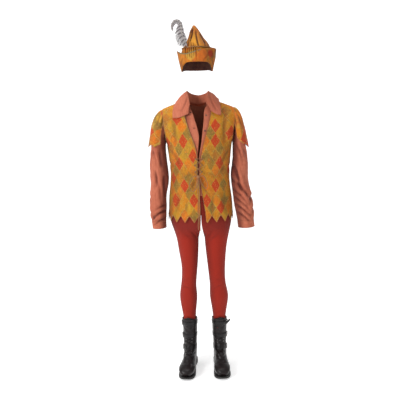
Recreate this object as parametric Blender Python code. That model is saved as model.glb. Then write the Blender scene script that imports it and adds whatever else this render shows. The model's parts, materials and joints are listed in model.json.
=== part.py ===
"""Minstrel costume: peaked hat, shirt, laced harlequin jerkin, knit hose and strapped boots.

Metres, +Z up. The front faces -Y and the wearer's right side is at -X.
The origin is on the shoulder line at the neck, where the wearer holds the costume up.
All heights in the tables are measured above the floor that the boots stand on.
"""
import math
from collections import namedtuple

import bmesh
import bpy
from mathutils import Matrix, Vector

# Driving dimensions
SHOULDER_LINE = 1.53
SEAM = 0.0003
SHARP_ANGLE = 50.0
ROUTE_STEPS = 20

JERKIN_WALL = 0.0025
SHIRT_WALL = 0.0012
HOSE_WALL = 0.0012
HAT_WALL = 0.0020
LEATHER_WALL = 0.0025
STRAP_WALL = 0.0020

# Depths of the layers below the jerkin's outer face
HOSE_INSET = 0.0060
SHIRT_INSET = 0.0076
SHIRT_RIDGE_INSET = 0.0034

# Torso: armpits, shoulder ridge and neck
ARMPIT = 1.33
NECK_SIDE = 0.078
RIDGE_AT_NECK = 1.581
RIDGE_SLOPE = 0.377
ARMHOLE_TURN = 0.30
SIDE_ANGLE = 90.0
ARMHOLE_ANGLE = 57.0
SHIRT_ARMHOLE_START = 0.07
SHIRT_NECK_RISE = 0.885
JERKIN_NECK_RISE = 0.860
JERKIN_BACK_NECK_SIDE = 0.090

# Mean radii, by which an angle round the body or the arm becomes a length on the cloth
TORSO_RADIUS = 0.155
ARM_RADIUS = 0.050

# Small steps that find the slope of a front
SLOPE_HEIGHT = 0.01
SLOPE_RISE = 0.04
SLOPE_ANGLE = 2.0

TorsoRow = namedtuple("TorsoRow", "height half_width front back")
TORSO = (
    TorsoRow(0.86, 0.187, 0.118, 0.122),
    TorsoRow(0.94, 0.181, 0.116, 0.118),
    TorsoRow(1.05, 0.170, 0.109, 0.106),
    TorsoRow(1.156, 0.164, 0.106, 0.100),
    TorsoRow(1.25, 0.171, 0.116, 0.108),
    TorsoRow(1.33, 0.180, 0.125, 0.117),
)

ShoulderRow = namedtuple("ShoulderRow", "rise half_width")
SHOULDER = (
    ShoulderRow(0.0, 0.180),
    ShoulderRow(0.3, 0.186),
    ShoulderRow(0.6, 0.196),
    ShoulderRow(1.0, 0.200),
)

# Front edges: how far each front's free edge lies from the middle, to +X
EdgeRow = namedtuple("EdgeRow", "height right left")
JERKIN_EDGE = (
    EdgeRow(0.86, -0.005, 0.032),
    EdgeRow(0.95, -0.005, 0.027),
    EdgeRow(1.05, -0.006, 0.012),
    EdgeRow(1.14, -0.010, -0.001),
    EdgeRow(1.165, -0.013, -0.006),
    EdgeRow(1.20, -0.016, 0.001),
    EdgeRow(1.24, -0.017, 0.003),
    EdgeRow(1.28, -0.011, 0.006),
    EdgeRow(1.33, -0.026, 0.018),
    EdgeRow(1.40, -0.049, 0.038),
    EdgeRow(1.48, -0.074, 0.060),
    EdgeRow(1.581, -0.078, 0.078),
)
SHIRT_EDGE = (
    EdgeRow(0.98, -0.0002, 0.0002),
    EdgeRow(1.15, -0.0002, 0.0002),
    EdgeRow(1.20, -0.009, -0.0085),
    EdgeRow(1.27, -0.011, -0.004),
    EdgeRow(1.33, -0.006, 0.008),
    EdgeRow(1.395, -0.003, 0.017),
    EdgeRow(1.47, -0.022, 0.027),
    EdgeRow(1.54, -0.046, 0.036),
    EdgeRow(1.581, -0.078, 0.078),
)

# Dagged hem: the lower halves of the last row of diamonds
HEM_NOTCH = 0.948
HEM_TIP = 0.907
HEM_PITCH = 0.026
HEM_FIRST_RIGHT = 0.006
HEM_FIRST_LEFT = 0.007
ABOVE_NOTCHES = 0.960

JERKIN_ROWS_BELOW = 6
PANEL_ROWS_ABOVE = 7
BACK_COLUMNS = 20
SHIRT_COLUMNS = 7
WAISTBAND_BOTTOM = 1.025
WAISTBAND_TOP = 1.055
SHIRT_LEVELS = (0.985, WAISTBAND_BOTTOM, WAISTBAND_TOP, 1.150, 1.240)
SHIRT_ROWS = len(SHIRT_LEVELS) + PANEL_ROWS_ABOVE

# Soft folds in the jerkin: angle 0 is the front middle, 90 the wearer's left side
Fold = namedtuple("Fold", "start_angle start_height end_angle end_height width depth")
JERKIN_FOLDS = (
    Fold(-62, 1.30, -34, 1.19, 0.030, 0.0050),
    Fold(58, 1.29, 30, 1.20, 0.030, 0.0050),
    Fold(-48, 1.10, -60, 0.93, 0.034, 0.0070),
    Fold(-20, 1.06, -24, 0.93, 0.030, 0.0050),
    Fold(38, 1.09, 46, 0.93, 0.034, 0.0070),
    Fold(74, 1.12, 78, 0.94, 0.034, 0.0060),
    Fold(-86, 1.14, -88, 0.94, 0.034, 0.0060),
    Fold(128, 1.12, 132, 0.94, 0.045, 0.0080),
    Fold(-126, 1.10, -128, 0.94, 0.045, 0.0080),
    Fold(176, 1.14, 172, 0.94, 0.045, 0.0070),
    Fold(150, 1.30, 120, 1.22, 0.035, 0.0050),
    Fold(-150, 1.31, -122, 1.21, 0.035, 0.0050),
)

# Shirt sleeves: each ring reaches from its outer to its inner point, x measured outwards
SleeveRow = namedtuple("SleeveRow", "outer_x outer_z inner_x inner_z y half_depth own")
RIGHT_SLEEVE = (
    SleeveRow(0.199, 1.530, 0.1780, 1.350, 0.000, 0.050, 0.0),
    SleeveRow(0.208, 1.525, 0.1800, 1.351, 0.000, 0.047, 0.2),
    SleeveRow(0.226, 1.503, 0.1820, 1.351, 0.000, 0.048, 0.6),
    SleeveRow(0.244, 1.472, 0.1840, 1.350, 0.000, 0.052, 1.0),
    SleeveRow(0.260, 1.428, 0.1860, 1.346, 0.000, 0.057, 1.0),
    SleeveRow(0.267, 1.375, 0.1880, 1.335, 0.000, 0.058, 1.0),
    SleeveRow(0.270, 1.310, 0.1885, 1.300, 0.002, 0.058, 1.0),
    SleeveRow(0.274, 1.245, 0.1860, 1.240, 0.006, 0.056, 1.0),
    SleeveRow(0.279, 1.190, 0.1800, 1.190, 0.008, 0.055, 1.0),
    SleeveRow(0.280, 1.145, 0.1780, 1.145, 0.004, 0.055, 1.0),
    SleeveRow(0.281, 1.100, 0.1830, 1.105, -0.006, 0.052, 1.0),
    SleeveRow(0.286, 1.050, 0.1900, 1.055, -0.018, 0.050, 1.0),
    SleeveRow(0.286, 1.000, 0.1920, 1.004, -0.030, 0.048, 1.0),
    SleeveRow(0.281, 0.955, 0.1930, 0.958, -0.042, 0.046, 1.0),
    SleeveRow(0.274, 0.915, 0.1960, 0.918, -0.052, 0.042, 1.0),
    SleeveRow(0.271, 0.872, 0.1970, 0.875, -0.059, 0.040, 1.0),
)
LEFT_SLEEVE = (
    SleeveRow(0.199, 1.530, 0.1780, 1.350, 0.000, 0.050, 0.0),
    SleeveRow(0.206, 1.522, 0.1800, 1.351, 0.000, 0.046, 0.2),
    SleeveRow(0.220, 1.502, 0.1815, 1.351, 0.000, 0.047, 0.6),
    SleeveRow(0.234, 1.477, 0.1830, 1.350, 0.000, 0.052, 1.0),
    SleeveRow(0.246, 1.434, 0.1850, 1.346, 0.000, 0.057, 1.0),
    SleeveRow(0.255, 1.378, 0.1860, 1.335, 0.000, 0.058, 1.0),
    SleeveRow(0.259, 1.310, 0.1865, 1.300, 0.002, 0.058, 1.0),
    SleeveRow(0.265, 1.245, 0.1840, 1.240, 0.006, 0.056, 1.0),
    SleeveRow(0.270, 1.190, 0.1770, 1.190, 0.008, 0.055, 1.0),
    SleeveRow(0.272, 1.145, 0.1750, 1.145, 0.004, 0.055, 1.0),
    SleeveRow(0.279, 1.100, 0.1790, 1.096, -0.006, 0.053, 1.0),
    SleeveRow(0.285, 1.050, 0.1850, 1.046, -0.018, 0.051, 1.0),
    SleeveRow(0.290, 1.000, 0.1900, 0.996, -0.030, 0.050, 1.0),
    SleeveRow(0.296, 0.955, 0.1980, 0.951, -0.042, 0.049, 1.0),
    SleeveRow(0.297, 0.915, 0.2050, 0.911, -0.052, 0.046, 1.0),
    SleeveRow(0.299, 0.872, 0.2090, 0.868, -0.059, 0.044, 1.0),
)
SLEEVE_COLUMNS = PANEL_ROWS_ABOVE * 2
SLEEVE_HEAD_STEP = 0.003
CUFF_SPREAD = 0.0012

# Cloth folds of a sleeve: angle 0 is the outer side, 90 the front, 180 the inner side
RIGHT_SLEEVE_FOLDS = (
    Fold(20, 1.34, 60, 1.20, 0.024, 0.0050),
    Fold(70, 1.30, 100, 1.16, 0.022, 0.0045),
    Fold(40, 1.16, 75, 1.04, 0.022, 0.0050),
    Fold(10, 0.985, 120, 1.03, 0.020, 0.0065),
    Fold(35, 0.935, 130, 0.975, 0.016, 0.0040),
    Fold(250, 1.24, 300, 1.14, 0.024, 0.0050),
    Fold(240, 1.02, 320, 0.96, 0.022, 0.0050),
)
LEFT_SLEEVE_FOLDS = (
    Fold(20, 1.33, 55, 1.19, 0.024, 0.0050),
    Fold(80, 1.28, 100, 1.17, 0.022, 0.0045),
    Fold(120, 1.06, 20, 0.985, 0.018, 0.0055),
    Fold(125, 1.01, 25, 0.945, 0.018, 0.0055),
    Fold(130, 0.965, 35, 0.910, 0.016, 0.0045),
    Fold(250, 1.24, 300, 1.14, 0.024, 0.0050),
    Fold(240, 1.02, 320, 0.96, 0.022, 0.0050),
)

# Cap sleeves of the jerkin, x outwards: a row runs from the armhole over the arm to the hem,
# and the rows go from the front over the shoulder to the back
CapRow = namedtuple("CapRow", "seam_rise bend_x bend_y bend_height hem_x hem_y hem_height")
RIGHT_CAP = (
    CapRow(0.62, 0.214, -0.078, 1.400, 0.214, -0.084, 1.345),
    CapRow(0.82, 0.238, -0.076, 1.450, 0.246, -0.086, 1.330),
    CapRow(0.94, 0.256, -0.044, 1.490, 0.274, -0.058, 1.343),
    CapRow(1.0, 0.268, 0.000, 1.512, 0.288, 0.000, 1.325),
    CapRow(0.94, 0.256, 0.044, 1.490, 0.274, 0.060, 1.343),
    CapRow(0.82, 0.238, 0.074, 1.450, 0.246, 0.086, 1.330),
    CapRow(0.62, 0.214, 0.078, 1.400, 0.214, 0.084, 1.345),
)
LEFT_CAP = (
    CapRow(0.62, 0.208, -0.078, 1.410, 0.208, -0.084, 1.372),
    CapRow(0.82, 0.228, -0.076, 1.455, 0.234, -0.088, 1.346),
    CapRow(0.94, 0.242, -0.044, 1.495, 0.260, -0.060, 1.340),
    CapRow(1.0, 0.250, 0.000, 1.520, 0.276, 0.000, 1.318),
    CapRow(0.94, 0.242, 0.044, 1.495, 0.260, 0.062, 1.340),
    CapRow(0.82, 0.226, 0.074, 1.455, 0.232, 0.088, 1.335),
    CapRow(0.62, 0.208, 0.078, 1.410, 0.208, 0.084, 1.350),
)
CAP_CORE_X = 0.190
CAP_CORE_TOP = 1.42
CAP_ROWS = 5
CAP_SEAM_GAP = 0.0008

# Collar stations from the back middle to a front end, x outwards
CollarRow = namedtuple(
    "CollarRow", "base_x base_y base_height fold_x fold_y fold_height edge_x edge_y edge_height")
RIGHT_COLLAR = (
    CollarRow(0.000, 0.0560, 1.5565, 0.000, 0.062, 1.606, 0.000, 0.094, 1.528),
    CollarRow(0.040, 0.0440, 1.5640, 0.034, 0.054, 1.612, 0.062, 0.088, 1.536),
    CollarRow(0.074, 0.0120, 1.5850, 0.060, 0.024, 1.630, 0.109, 0.058, 1.562),
    CollarRow(0.075, -0.0140, 1.5820, 0.061, -0.014, 1.629, 0.124, 0.000, 1.5760),
    CollarRow(0.066, -0.0440, 1.5640, 0.055, -0.048, 1.598, 0.142, -0.052, 1.5358),
    CollarRow(0.056, -0.0600, 1.5530, 0.050, -0.066, 1.574, 0.143, -0.090, 1.472),
    CollarRow(0.049, -0.0680, 1.5440, 0.047, -0.076, 1.556, 0.054, -0.096, 1.506),
)
LEFT_COLLAR = (
    CollarRow(0.000, 0.0560, 1.5565, 0.000, 0.062, 1.606, 0.000, 0.094, 1.528),
    CollarRow(0.040, 0.0440, 1.5640, 0.034, 0.054, 1.612, 0.062, 0.088, 1.536),
    CollarRow(0.074, 0.0120, 1.5850, 0.055, 0.024, 1.628, 0.108, 0.058, 1.562),
    CollarRow(0.075, -0.0140, 1.5820, 0.052, -0.014, 1.627, 0.112, -0.004, 1.586),
    CollarRow(0.064, -0.0440, 1.5640, 0.049, -0.048, 1.600, 0.122, -0.064, 1.538),
    CollarRow(0.054, -0.0600, 1.5530, 0.046, -0.066, 1.576, 0.122, -0.098, 1.486),
    CollarRow(0.044, -0.0680, 1.5460, 0.042, -0.077, 1.558, 0.066, -0.094, 1.518),
)
COLLAR_COLUMNS = 20
COLLAR_ROWS = 3
COLLAR_BULGE = 0.003
COLLAR_FOLD_LIFT = 0.0016
COLLAR_CENTRE_Y = 0.002
COLLAR_SLOPE_STEP = 0.02

BUTTON_RADIUS = 0.0055
BUTTON_DEPTH = 0.0025
BUTTON_SINK = 0.0002
BUTTON_TOP_SHARE = 0.75
BUTTON_SIDES = 10
BUTTON_HEIGHTS = (1.500, 1.415)
BUTTON_FROM_EDGE = 0.012

# Lacing: three pairs of eyelets beside the front edges, and a tan thong
EYELET_HEIGHTS = (1.262, 1.226, 1.190)
EYELET_FROM_EDGE = 0.011
EYELET_RADIUS = 0.0034
EYELET_WIRE = 0.0009
EYELET_LIFT = 0.0012
EYELET_SIDES = 8
THONG_RADIUS = 0.0019
THONG_LIFT = 0.0047
THONG_CROSS_LIFT = 0.0048
THONG_STEP = 0.0045
THONG_START_DROP = 2.6 * THONG_RADIUS
THONG_ENDS_APART = 0.0045
THONG_HUMP_STEPS = 4
KNOT = Vector((-0.0100, -0.1190, 1.1640))
KNOT_SIZE = Vector((0.0095, 0.0065, 0.0080))
LOOP_RIGHT = (
    (-0.0200, -0.1190, 1.1650), (-0.0330, -0.1215, 1.1670), (-0.0500, -0.1200, 1.1500),
    (-0.0600, -0.1170, 1.1200), (-0.0560, -0.1160, 1.0940), (-0.0400, -0.1190, 1.0840),
    (-0.0260, -0.1210, 1.0980), (-0.0190, -0.1220, 1.1280), (-0.0172, -0.1195, 1.1562),
)
LOOP_LEFT = (
    (0.0000, -0.1190, 1.1650), (0.0150, -0.1230, 1.1690), (0.0310, -0.1220, 1.1480),
    (0.0390, -0.1200, 1.1200), (0.0330, -0.1200, 1.1000), (0.0200, -0.1210, 1.1080),
    (0.0070, -0.1220, 1.1300), (-0.0018, -0.1195, 1.1558),
)
TAIL_RIGHT = (
    (-0.0120, -0.1200, 1.1558), (-0.0130, -0.1235, 1.1300), (-0.0150, -0.1245, 1.0900),
    (-0.0120, -0.1255, 1.0400), (-0.0150, -0.1275, 0.9900), (-0.0130, -0.1290, 0.9400),
    (-0.0160, -0.1300, 0.9000), (-0.0150, -0.1290, 0.8700),
)
TAIL_LEFT = (
    (-0.0070, -0.1205, 1.1556), (-0.0060, -0.1240, 1.1300), (-0.0050, -0.1245, 1.0900),
    (-0.0055, -0.1255, 1.0400), (-0.0040, -0.1275, 0.9900), (-0.0060, -0.1290, 0.9400),
    (-0.0060, -0.1300, 0.9000), (-0.0050, -0.1290, 0.8640),
)

# Hose: rings of each leg, x outwards from the middle; the last rings lie inside the boot
LegRow = namedtuple("LegRow", "x y height half_width half_depth")
RIGHT_LEG = (
    LegRow(0.0790, 0.004, 0.8000, 0.0640, 0.0800),
    LegRow(0.0750, -0.002, 0.7200, 0.0560, 0.0700),
    LegRow(0.0715, -0.004, 0.6390, 0.0470, 0.0600),
    LegRow(0.0765, -0.004, 0.5610, 0.0430, 0.0530),
    LegRow(0.0815, 0.011, 0.5000, 0.0460, 0.0540),
    LegRow(0.0825, 0.022, 0.4400, 0.0510, 0.0565),
    LegRow(0.0820, 0.030, 0.3710, 0.0440, 0.0470),
)
LEFT_LEG = (
    LegRow(0.0860, 0.004, 0.8000, 0.0680, 0.0800),
    LegRow(0.0830, -0.002, 0.7200, 0.0590, 0.0700),
    LegRow(0.0840, -0.004, 0.6390, 0.0510, 0.0600),
    LegRow(0.0870, -0.004, 0.5610, 0.0470, 0.0530),
    LegRow(0.0930, 0.011, 0.5000, 0.0490, 0.0540),
    LegRow(0.0980, 0.022, 0.4400, 0.0535, 0.0565),
    LegRow(0.0980, 0.030, 0.3710, 0.0450, 0.0470),
)
CROTCH = 0.828
CROTCH_PULL = 0.82
HIP_LEVELS = (1.0240, 0.985, 0.945, 0.905, 0.868)
HIP_OWN = (1.0, 1.0, 0.97, 0.86, 0.55)
BOOT_RINGS = (0, 2, 4)
BOOT_SLACK = (0.0060, 0.0035, SEAM)
LEG_COLUMNS = SHIRT_COLUMNS * 2

# Boots: each ring leans from its front point to its back point; lengths from the ankle
BootRow = namedtuple("BootRow", "front_y front_z back_y back_z half_width square")
BOOT = (
    BootRow(-0.0520, 0.3070, 0.0620, 0.2960, 0.0450, 2.0),
    BootRow(-0.0510, 0.2920, 0.0610, 0.2820, 0.0445, 2.0),
    BootRow(-0.0490, 0.2700, 0.0590, 0.2610, 0.0435, 2.0),
    BootRow(-0.0470, 0.2150, 0.0560, 0.2080, 0.0415, 2.0),
    BootRow(-0.0460, 0.1920, 0.0550, 0.1850, 0.0405, 2.0),
    BootRow(-0.0480, 0.1730, 0.0570, 0.1600, 0.0395, 2.0),
    BootRow(-0.0540, 0.1500, 0.0620, 0.1240, 0.0385, 2.0),
    BootRow(-0.0640, 0.1290, 0.0680, 0.0870, 0.0380, 2.0),
    BootRow(-0.0800, 0.1130, 0.0700, 0.0480, 0.0370, 2.2),
    BootRow(-0.0970, 0.0970, 0.0560, 0.0310, 0.0370, 2.4),
    BootRow(-0.1170, 0.0830, -0.0050, 0.0240, 0.0400, 2.6),
    BootRow(-0.1420, 0.0720, -0.0780, 0.0160, 0.0455, 2.8),
    BootRow(-0.1640, 0.0660, -0.1280, 0.0150, 0.0455, 2.8),
    BootRow(-0.1860, 0.0560, -0.1660, 0.0170, 0.0370, 2.6),
    BootRow(-0.2000, 0.0420, -0.1900, 0.0220, 0.0210, 2.3),
)
BOOT_COLUMNS = LEG_COLUMNS
STRAP_SPANS = ((1, 2), (3, 4), (6, 7))
STRAP_LIFT = 0.0004
BUCKLE_OUTER = (0.0110, 0.0135)
BUCKLE_INNER = (0.0075, 0.0100)
BUCKLE_WIRE = 0.0024
BUCKLE_SLOPE = 0.02
BUCKLE_RISE = 0.4
TOE_CAP_ROWS = (11, 14)
TOE_CAP_WALL = 0.0014
TONGUE_WALL = 0.0016
TONGUE_COLUMNS = 3
TONGUE_GAP = 0.0006
TONGUE_HEIGHT = 0.013
TONGUE_CORNER_DROP = 0.010
TONGUE_LEAN = -0.005
BootPlace = namedtuple("BootPlace", "x y turn")
RIGHT_BOOT = BootPlace(-0.0800, 0.030, -8.0)
LEFT_BOOT = BootPlace(0.0975, 0.030, 3.0)

SoleRow = namedtuple("SoleRow", "y inner outer bottom top")
SOLE = (
    SoleRow(0.0760, 0.0120, 0.0120, 0.0040, 0.0295),
    SoleRow(0.0680, 0.0270, 0.0270, 0.0000, 0.0300),
    SoleRow(0.0480, 0.0350, 0.0350, 0.0000, 0.0295),
    SoleRow(0.0100, 0.0340, 0.0350, 0.0000, 0.0250),
    SoleRow(0.0040, 0.0335, 0.0350, 0.0110, 0.0235),
    SoleRow(-0.0500, 0.0370, 0.0400, 0.0060, 0.0180),
    SoleRow(-0.0700, 0.0400, 0.0440, 0.0000, 0.0165),
    SoleRow(-0.1200, 0.0460, 0.0480, 0.0000, 0.0135),
    SoleRow(-0.1550, 0.0450, 0.0440, 0.0010, 0.0140),
    SoleRow(-0.1800, 0.0370, 0.0340, 0.0040, 0.0165),
    SoleRow(-0.1980, 0.0220, 0.0200, 0.0090, 0.0200),
    SoleRow(-0.2060, 0.0070, 0.0070, 0.0130, 0.0215),
)

# Hat: a crown of two halves under an upturned brim
CrownRow = namedtuple("CrownRow", "height half_width half_depth x y")
CROWN = (
    CrownRow(1.720, 0.0840, 0.1020, -0.004, -0.004),
    CrownRow(1.800, 0.0830, 0.1005, -0.004, -0.004),
    CrownRow(1.850, 0.0800, 0.0970, -0.004, -0.003),
    CrownRow(1.880, 0.0620, 0.0830, -0.003, 0.001),
    CrownRow(1.910, 0.0440, 0.0640, -0.007, 0.005),
    CrownRow(1.940, 0.0300, 0.0460, -0.011, 0.008),
    CrownRow(1.965, 0.0160, 0.0270, -0.015, 0.010),
    CrownRow(1.981, 0.0040, 0.0070, -0.017, 0.011),
)
HAT_EDGE_FRONT = 1.778
HAT_EDGE_SIDE = 1.733
HAT_EDGE_BACK = 1.745
HAT_EDGE_POWER = 8
BRIM_TOP_FRONT = 1.833
BRIM_TOP_SIDE = 1.846
BRIM_TOP_BACK = 1.838
BRIM_TILT = 0.015
BRIM_FLARE_SIDE = 0.025
BRIM_FLARE_FRONT = 0.012
HAT_LINE_POWER = 5
HAT_COLUMNS = 11
CROWN_ROWS = 8
CROWN_ROW_POWER = 0.85
CROWN_LEAST_WIDTH = 0.0008
CROWN_LEAST_DEPTH = 0.0015
CROWN_TOP_WALL = 1.5
BRIM_ROWS = 3
BRIM_GAP = 0.0004
BRIM_FLARE_POWER = 1.3
BRIM_BULGE = 0.003
HAT_CORD_RADIUS = 0.0025
HAT_CORD_GAP = 0.0008
HAT_CORD_HEIGHT = 1.856

# Feather: a curled quill with a vane on each side of it
FeatherRow = namedtuple("FeatherRow", "x y height outer inner")
FEATHER = (
    FeatherRow(-0.0540, -0.0849, 1.856, 0.000, 0.000),
    FeatherRow(-0.062, -0.088, 1.880, 0.026, 0.006),
    FeatherRow(-0.074, -0.086, 1.905, 0.044, 0.016),
    FeatherRow(-0.082, -0.084, 1.930, 0.036, 0.014),
    FeatherRow(-0.084, -0.082, 1.955, 0.024, 0.010),
    FeatherRow(-0.088, -0.080, 1.978, 0.020, 0.008),
    FeatherRow(-0.100, -0.078, 1.991, 0.017, 0.006),
    FeatherRow(-0.117, -0.076, 1.992, 0.016, 0.005),
    FeatherRow(-0.131, -0.074, 1.978, 0.014, 0.004),
    FeatherRow(-0.135, -0.072, 1.958, 0.010, 0.003),
    FeatherRow(-0.129, -0.071, 1.943, 0.004, 0.002),
)
QUILL_RADIUS = 0.0014
VANE_WALL = 0.0010
VANE_GAP = 0.0008
VANE_COLUMNS = 30
VANE_CLUMPS = 7
VANE_START = 0.08
VANE_END = 0.99
VANE_LEAN = 0.4
VANE_LEAST = 0.002
VANE_NOTCH_SHARE = 0.55
QUILL_STEPS = 20
QUILL_SLOPE = 0.01
FeatherSpot = namedtuple("FeatherSpot", "step value")

Finish = namedtuple("Finish", "name colour roughness metallic")
FINISHES = {
    "jerkin": Finish("dyed_harlequin_cloth", (0.66, 0.33, 0.07, 1), 0.85, 0.0),
    "shirt": Finish("terracotta_cotton", (0.55, 0.22, 0.14, 1), 0.85, 0.0),
    "hose": Finish("brick_red_knit", (0.45, 0.07, 0.04, 1), 0.80, 0.0),
    "boot": Finish("dark_brown_leather", (0.03, 0.018, 0.015, 1), 0.40, 0.0),
    "sole": Finish("black_rubber", (0.015, 0.015, 0.015, 1), 0.70, 0.0),
    "metal": Finish("dull_steel", (0.45, 0.43, 0.40, 1), 0.35, 1.0),
    "brass": Finish("aged_brass", (0.42, 0.30, 0.12, 1), 0.40, 1.0),
    "thong": Finish("tan_leather_thong", (0.50, 0.32, 0.18, 1), 0.70, 0.0),
    "button": Finish("brown_horn", (0.22, 0.10, 0.06, 1), 0.40, 0.0),
    "feather": Finish("grey_barred_feather", (0.36, 0.33, 0.34, 1), 0.70, 0.0),
    "quill": Finish("pale_quill", (0.72, 0.66, 0.58, 1), 0.45, 0.0),
}


# Small mathematics

def clamp(value, low=0.0, high=1.0):
    """Keep a value between two ends."""
    return max(low, min(high, value))


def ease(value):
    """Smooth step from 0 to 1."""
    value = clamp(value)
    return value * value * (3.0 - 2.0 * value)


def mix(first, second, share):
    """Blend two numbers or vectors."""
    return first + (second - first) * share


def curve_value(rows, key, name, at):
    """Read one named column on a smooth curve through a table's rows."""
    ordered = sorted(rows, key=lambda row: getattr(row, key))
    keys = [getattr(row, key) for row in ordered]
    values = [getattr(row, name) for row in ordered]
    at = clamp(at, keys[0], keys[-1])
    last = len(keys) - 2
    index = 0
    while index < last and at > keys[index + 1]:
        index += 1
    slopes = []
    for spot in (index, index + 1):
        before = max(spot - 1, 0)
        after = min(spot + 1, len(keys) - 1)
        slopes.append((values[after] - values[before]) / (keys[after] - keys[before]))
    span = keys[index + 1] - keys[index]
    part = (at - keys[index]) / span
    square = part * part
    cube = square * part
    return (
        (2 * cube - 3 * square + 1) * values[index]
        + (cube - 2 * square + part) * span * slopes[0]
        + (3 * square - 2 * cube) * values[index + 1]
        + (cube - square) * span * slopes[1]
    )


def step_value(rows, name, step):
    """Read one named column between rows that are counted 0, 1, 2 and so on, in straight lines."""
    step = clamp(step, 0.0, len(rows) - 1.0)
    index = min(int(step), len(rows) - 2)
    return mix(getattr(rows[index], name), getattr(rows[index + 1], name), step - index)


def smooth_route(points, spacing):
    """Points at an even spacing on a smooth curve through a route's own points."""
    route = [Vector(point) for point in points]
    padded = [route[0] * 2 - route[1]] + route + [route[-1] * 2 - route[-2]]
    fine = []
    for index in range(1, len(padded) - 2):
        before, start, end, after = padded[index - 1:index + 3]
        for step in range(ROUTE_STEPS):
            part = step / ROUTE_STEPS
            fine.append(0.5 * (
                2 * start + (end - before) * part
                + (2 * before - 5 * start + 4 * end - after) * part ** 2
                + (3 * start - before - 3 * end + after) * part ** 3))
    fine.append(route[-1])
    length = sum((b - a).length for a, b in zip(fine, fine[1:]))
    count = max(2, round(length / spacing))
    result = [fine[0]]
    walked = 0.0
    for start, end in zip(fine, fine[1:]):
        walked += (end - start).length
        if walked >= length / count * len(result) and len(result) < count:
            result.append(end)
    result.append(fine[-1])
    return result


# Scene objects

def clear_scene():
    """Remove every object of the open scene."""
    for item in list(bpy.data.objects):
        bpy.data.objects.remove(item, do_unlink=True)


def material(key):
    """Principled material for a finish, made once."""
    finish = FINISHES[key]
    found = bpy.data.materials.get(finish.name)
    if found:
        return found
    made = bpy.data.materials.new(finish.name)
    made.use_nodes = True
    shader = made.node_tree.nodes["Principled BSDF"]
    shader.inputs["Base Color"].default_value = finish.colour
    shader.inputs["Roughness"].default_value = finish.roughness
    shader.inputs["Metallic"].default_value = finish.metallic
    return made


def add_mesh(name, shape, finish):
    """Turn a bmesh given in heights above the floor into a scene object."""
    bmesh.ops.recalc_face_normals(shape, faces=shape.faces)
    bmesh.ops.translate(shape, verts=shape.verts, vec=(0, 0, -SHOULDER_LINE))
    mesh = bpy.data.meshes.new(name)
    shape.to_mesh(mesh)
    shape.free()
    mesh.shade_smooth()
    mesh.set_sharp_from_angle(angle=math.radians(SHARP_ANGLE))
    mesh.materials.append(material(finish))
    item = bpy.data.objects.new(name, mesh)
    bpy.context.scene.collection.objects.link(item)
    return item


def wall_sheet(name, finish, columns, rows, point, wall, closed=False, closed_rows=0, cap=False):
    """Solid wall between point(u, v, 0) and point(u, v, wall).

    A closed sheet joins its first and last column, at all rows or only at the first
    closed_rows of them. A cap closes the last row.
    """
    shape = bmesh.new()
    sides = []
    for depth in (0.0, wall):
        grid = bmesh.ops.create_grid(shape, x_segments=columns, y_segments=rows, size=1.0)["verts"]
        keyed = {}
        for vert in grid:
            column = round((vert.co.x + 1) / 2 * columns)
            row = round((vert.co.y + 1) / 2 * rows)
            keyed[(column, row)] = vert
        for (column, row), vert in keyed.items():
            vert.co = point(column / columns, row / rows, depth)
        sides.append(keyed)
    joined_rows = rows if closed else closed_rows - 1
    outer, inner = sides
    rims = []
    for row in range(rows):
        if row >= joined_rows:
            rims.append(((0, row), (0, row + 1)))
            rims.append(((columns, row), (columns, row + 1)))
    for column in range(columns):
        rims.append(((column, 0), (column + 1, 0)))
        if not cap:
            rims.append(((column, rows), (column + 1, rows)))
    for start, end in rims:
        shape.faces.new((outer[start], outer[end], inner[end], inner[start]))
    if cap:
        for keyed in sides:
            shape.faces.new([keyed[(column, rows)] for column in range(columns)])
    if joined_rows >= 0:
        target = {}
        for keyed in sides:
            for row in range(joined_rows + 1):
                target[keyed[(columns, row)]] = keyed[(0, row)]
        bmesh.ops.weld_verts(shape, targetmap=target)
    return add_mesh(name, shape, finish)


def thread(name, finish, points, radius, resolution=2, cyclic=False):
    """Round cord along a line of points given in heights above the floor."""
    data = bpy.data.curves.new(name, "CURVE")
    data.dimensions = "3D"
    data.bevel_depth = radius
    data.bevel_resolution = resolution
    data.use_fill_caps = True
    spline = data.splines.new("POLY")
    spline.points.add(len(points) - 1)
    for spot, place in zip(spline.points, points):
        spot.co = (place[0], place[1], place[2] - SHOULDER_LINE, 1.0)
    spline.use_cyclic_u = cyclic
    data.materials.append(material(finish))
    item = bpy.data.objects.new(name, data)
    bpy.context.scene.collection.objects.link(item)
    return item


# Torso surfaces

def ridge_height(x):
    """Height of the shoulder ridge over a place beside the middle."""
    return RIDGE_AT_NECK - RIDGE_SLOPE * max(abs(x) - NECK_SIDE, 0.0)


def fold_relief(folds, angle, height, radius):
    """How far the cloth stands out here, from the folds of a table."""
    total = 0.0
    for fold in folds:
        start = Vector((math.radians(fold.start_angle) * radius, fold.start_height))
        end = Vector((math.radians(fold.end_angle) * radius, fold.end_height))
        along = end - start
        spot = Vector((math.radians(angle) * radius, height))
        turn = math.tau * radius
        while spot.x - (start.x + end.x) / 2 > turn / 2:
            spot.x -= turn
        while spot.x - (start.x + end.x) / 2 < -turn / 2:
            spot.x += turn
        share = clamp((spot - start).dot(along) / along.length_squared)
        away = (spot - start - along * share).length
        strength = 0.45 + 0.55 * math.sin(math.pi * share)
        total += fold.depth * strength * math.exp(-(away / fold.width) ** 2)
    return total


def side_angle(rise, start):
    """Angle of a panel's outer edge: the side seam, then the armhole."""
    return SIDE_ANGLE - (SIDE_ANGLE - ARMHOLE_ANGLE) * ease((rise - start) / ARMHOLE_TURN)


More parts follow.
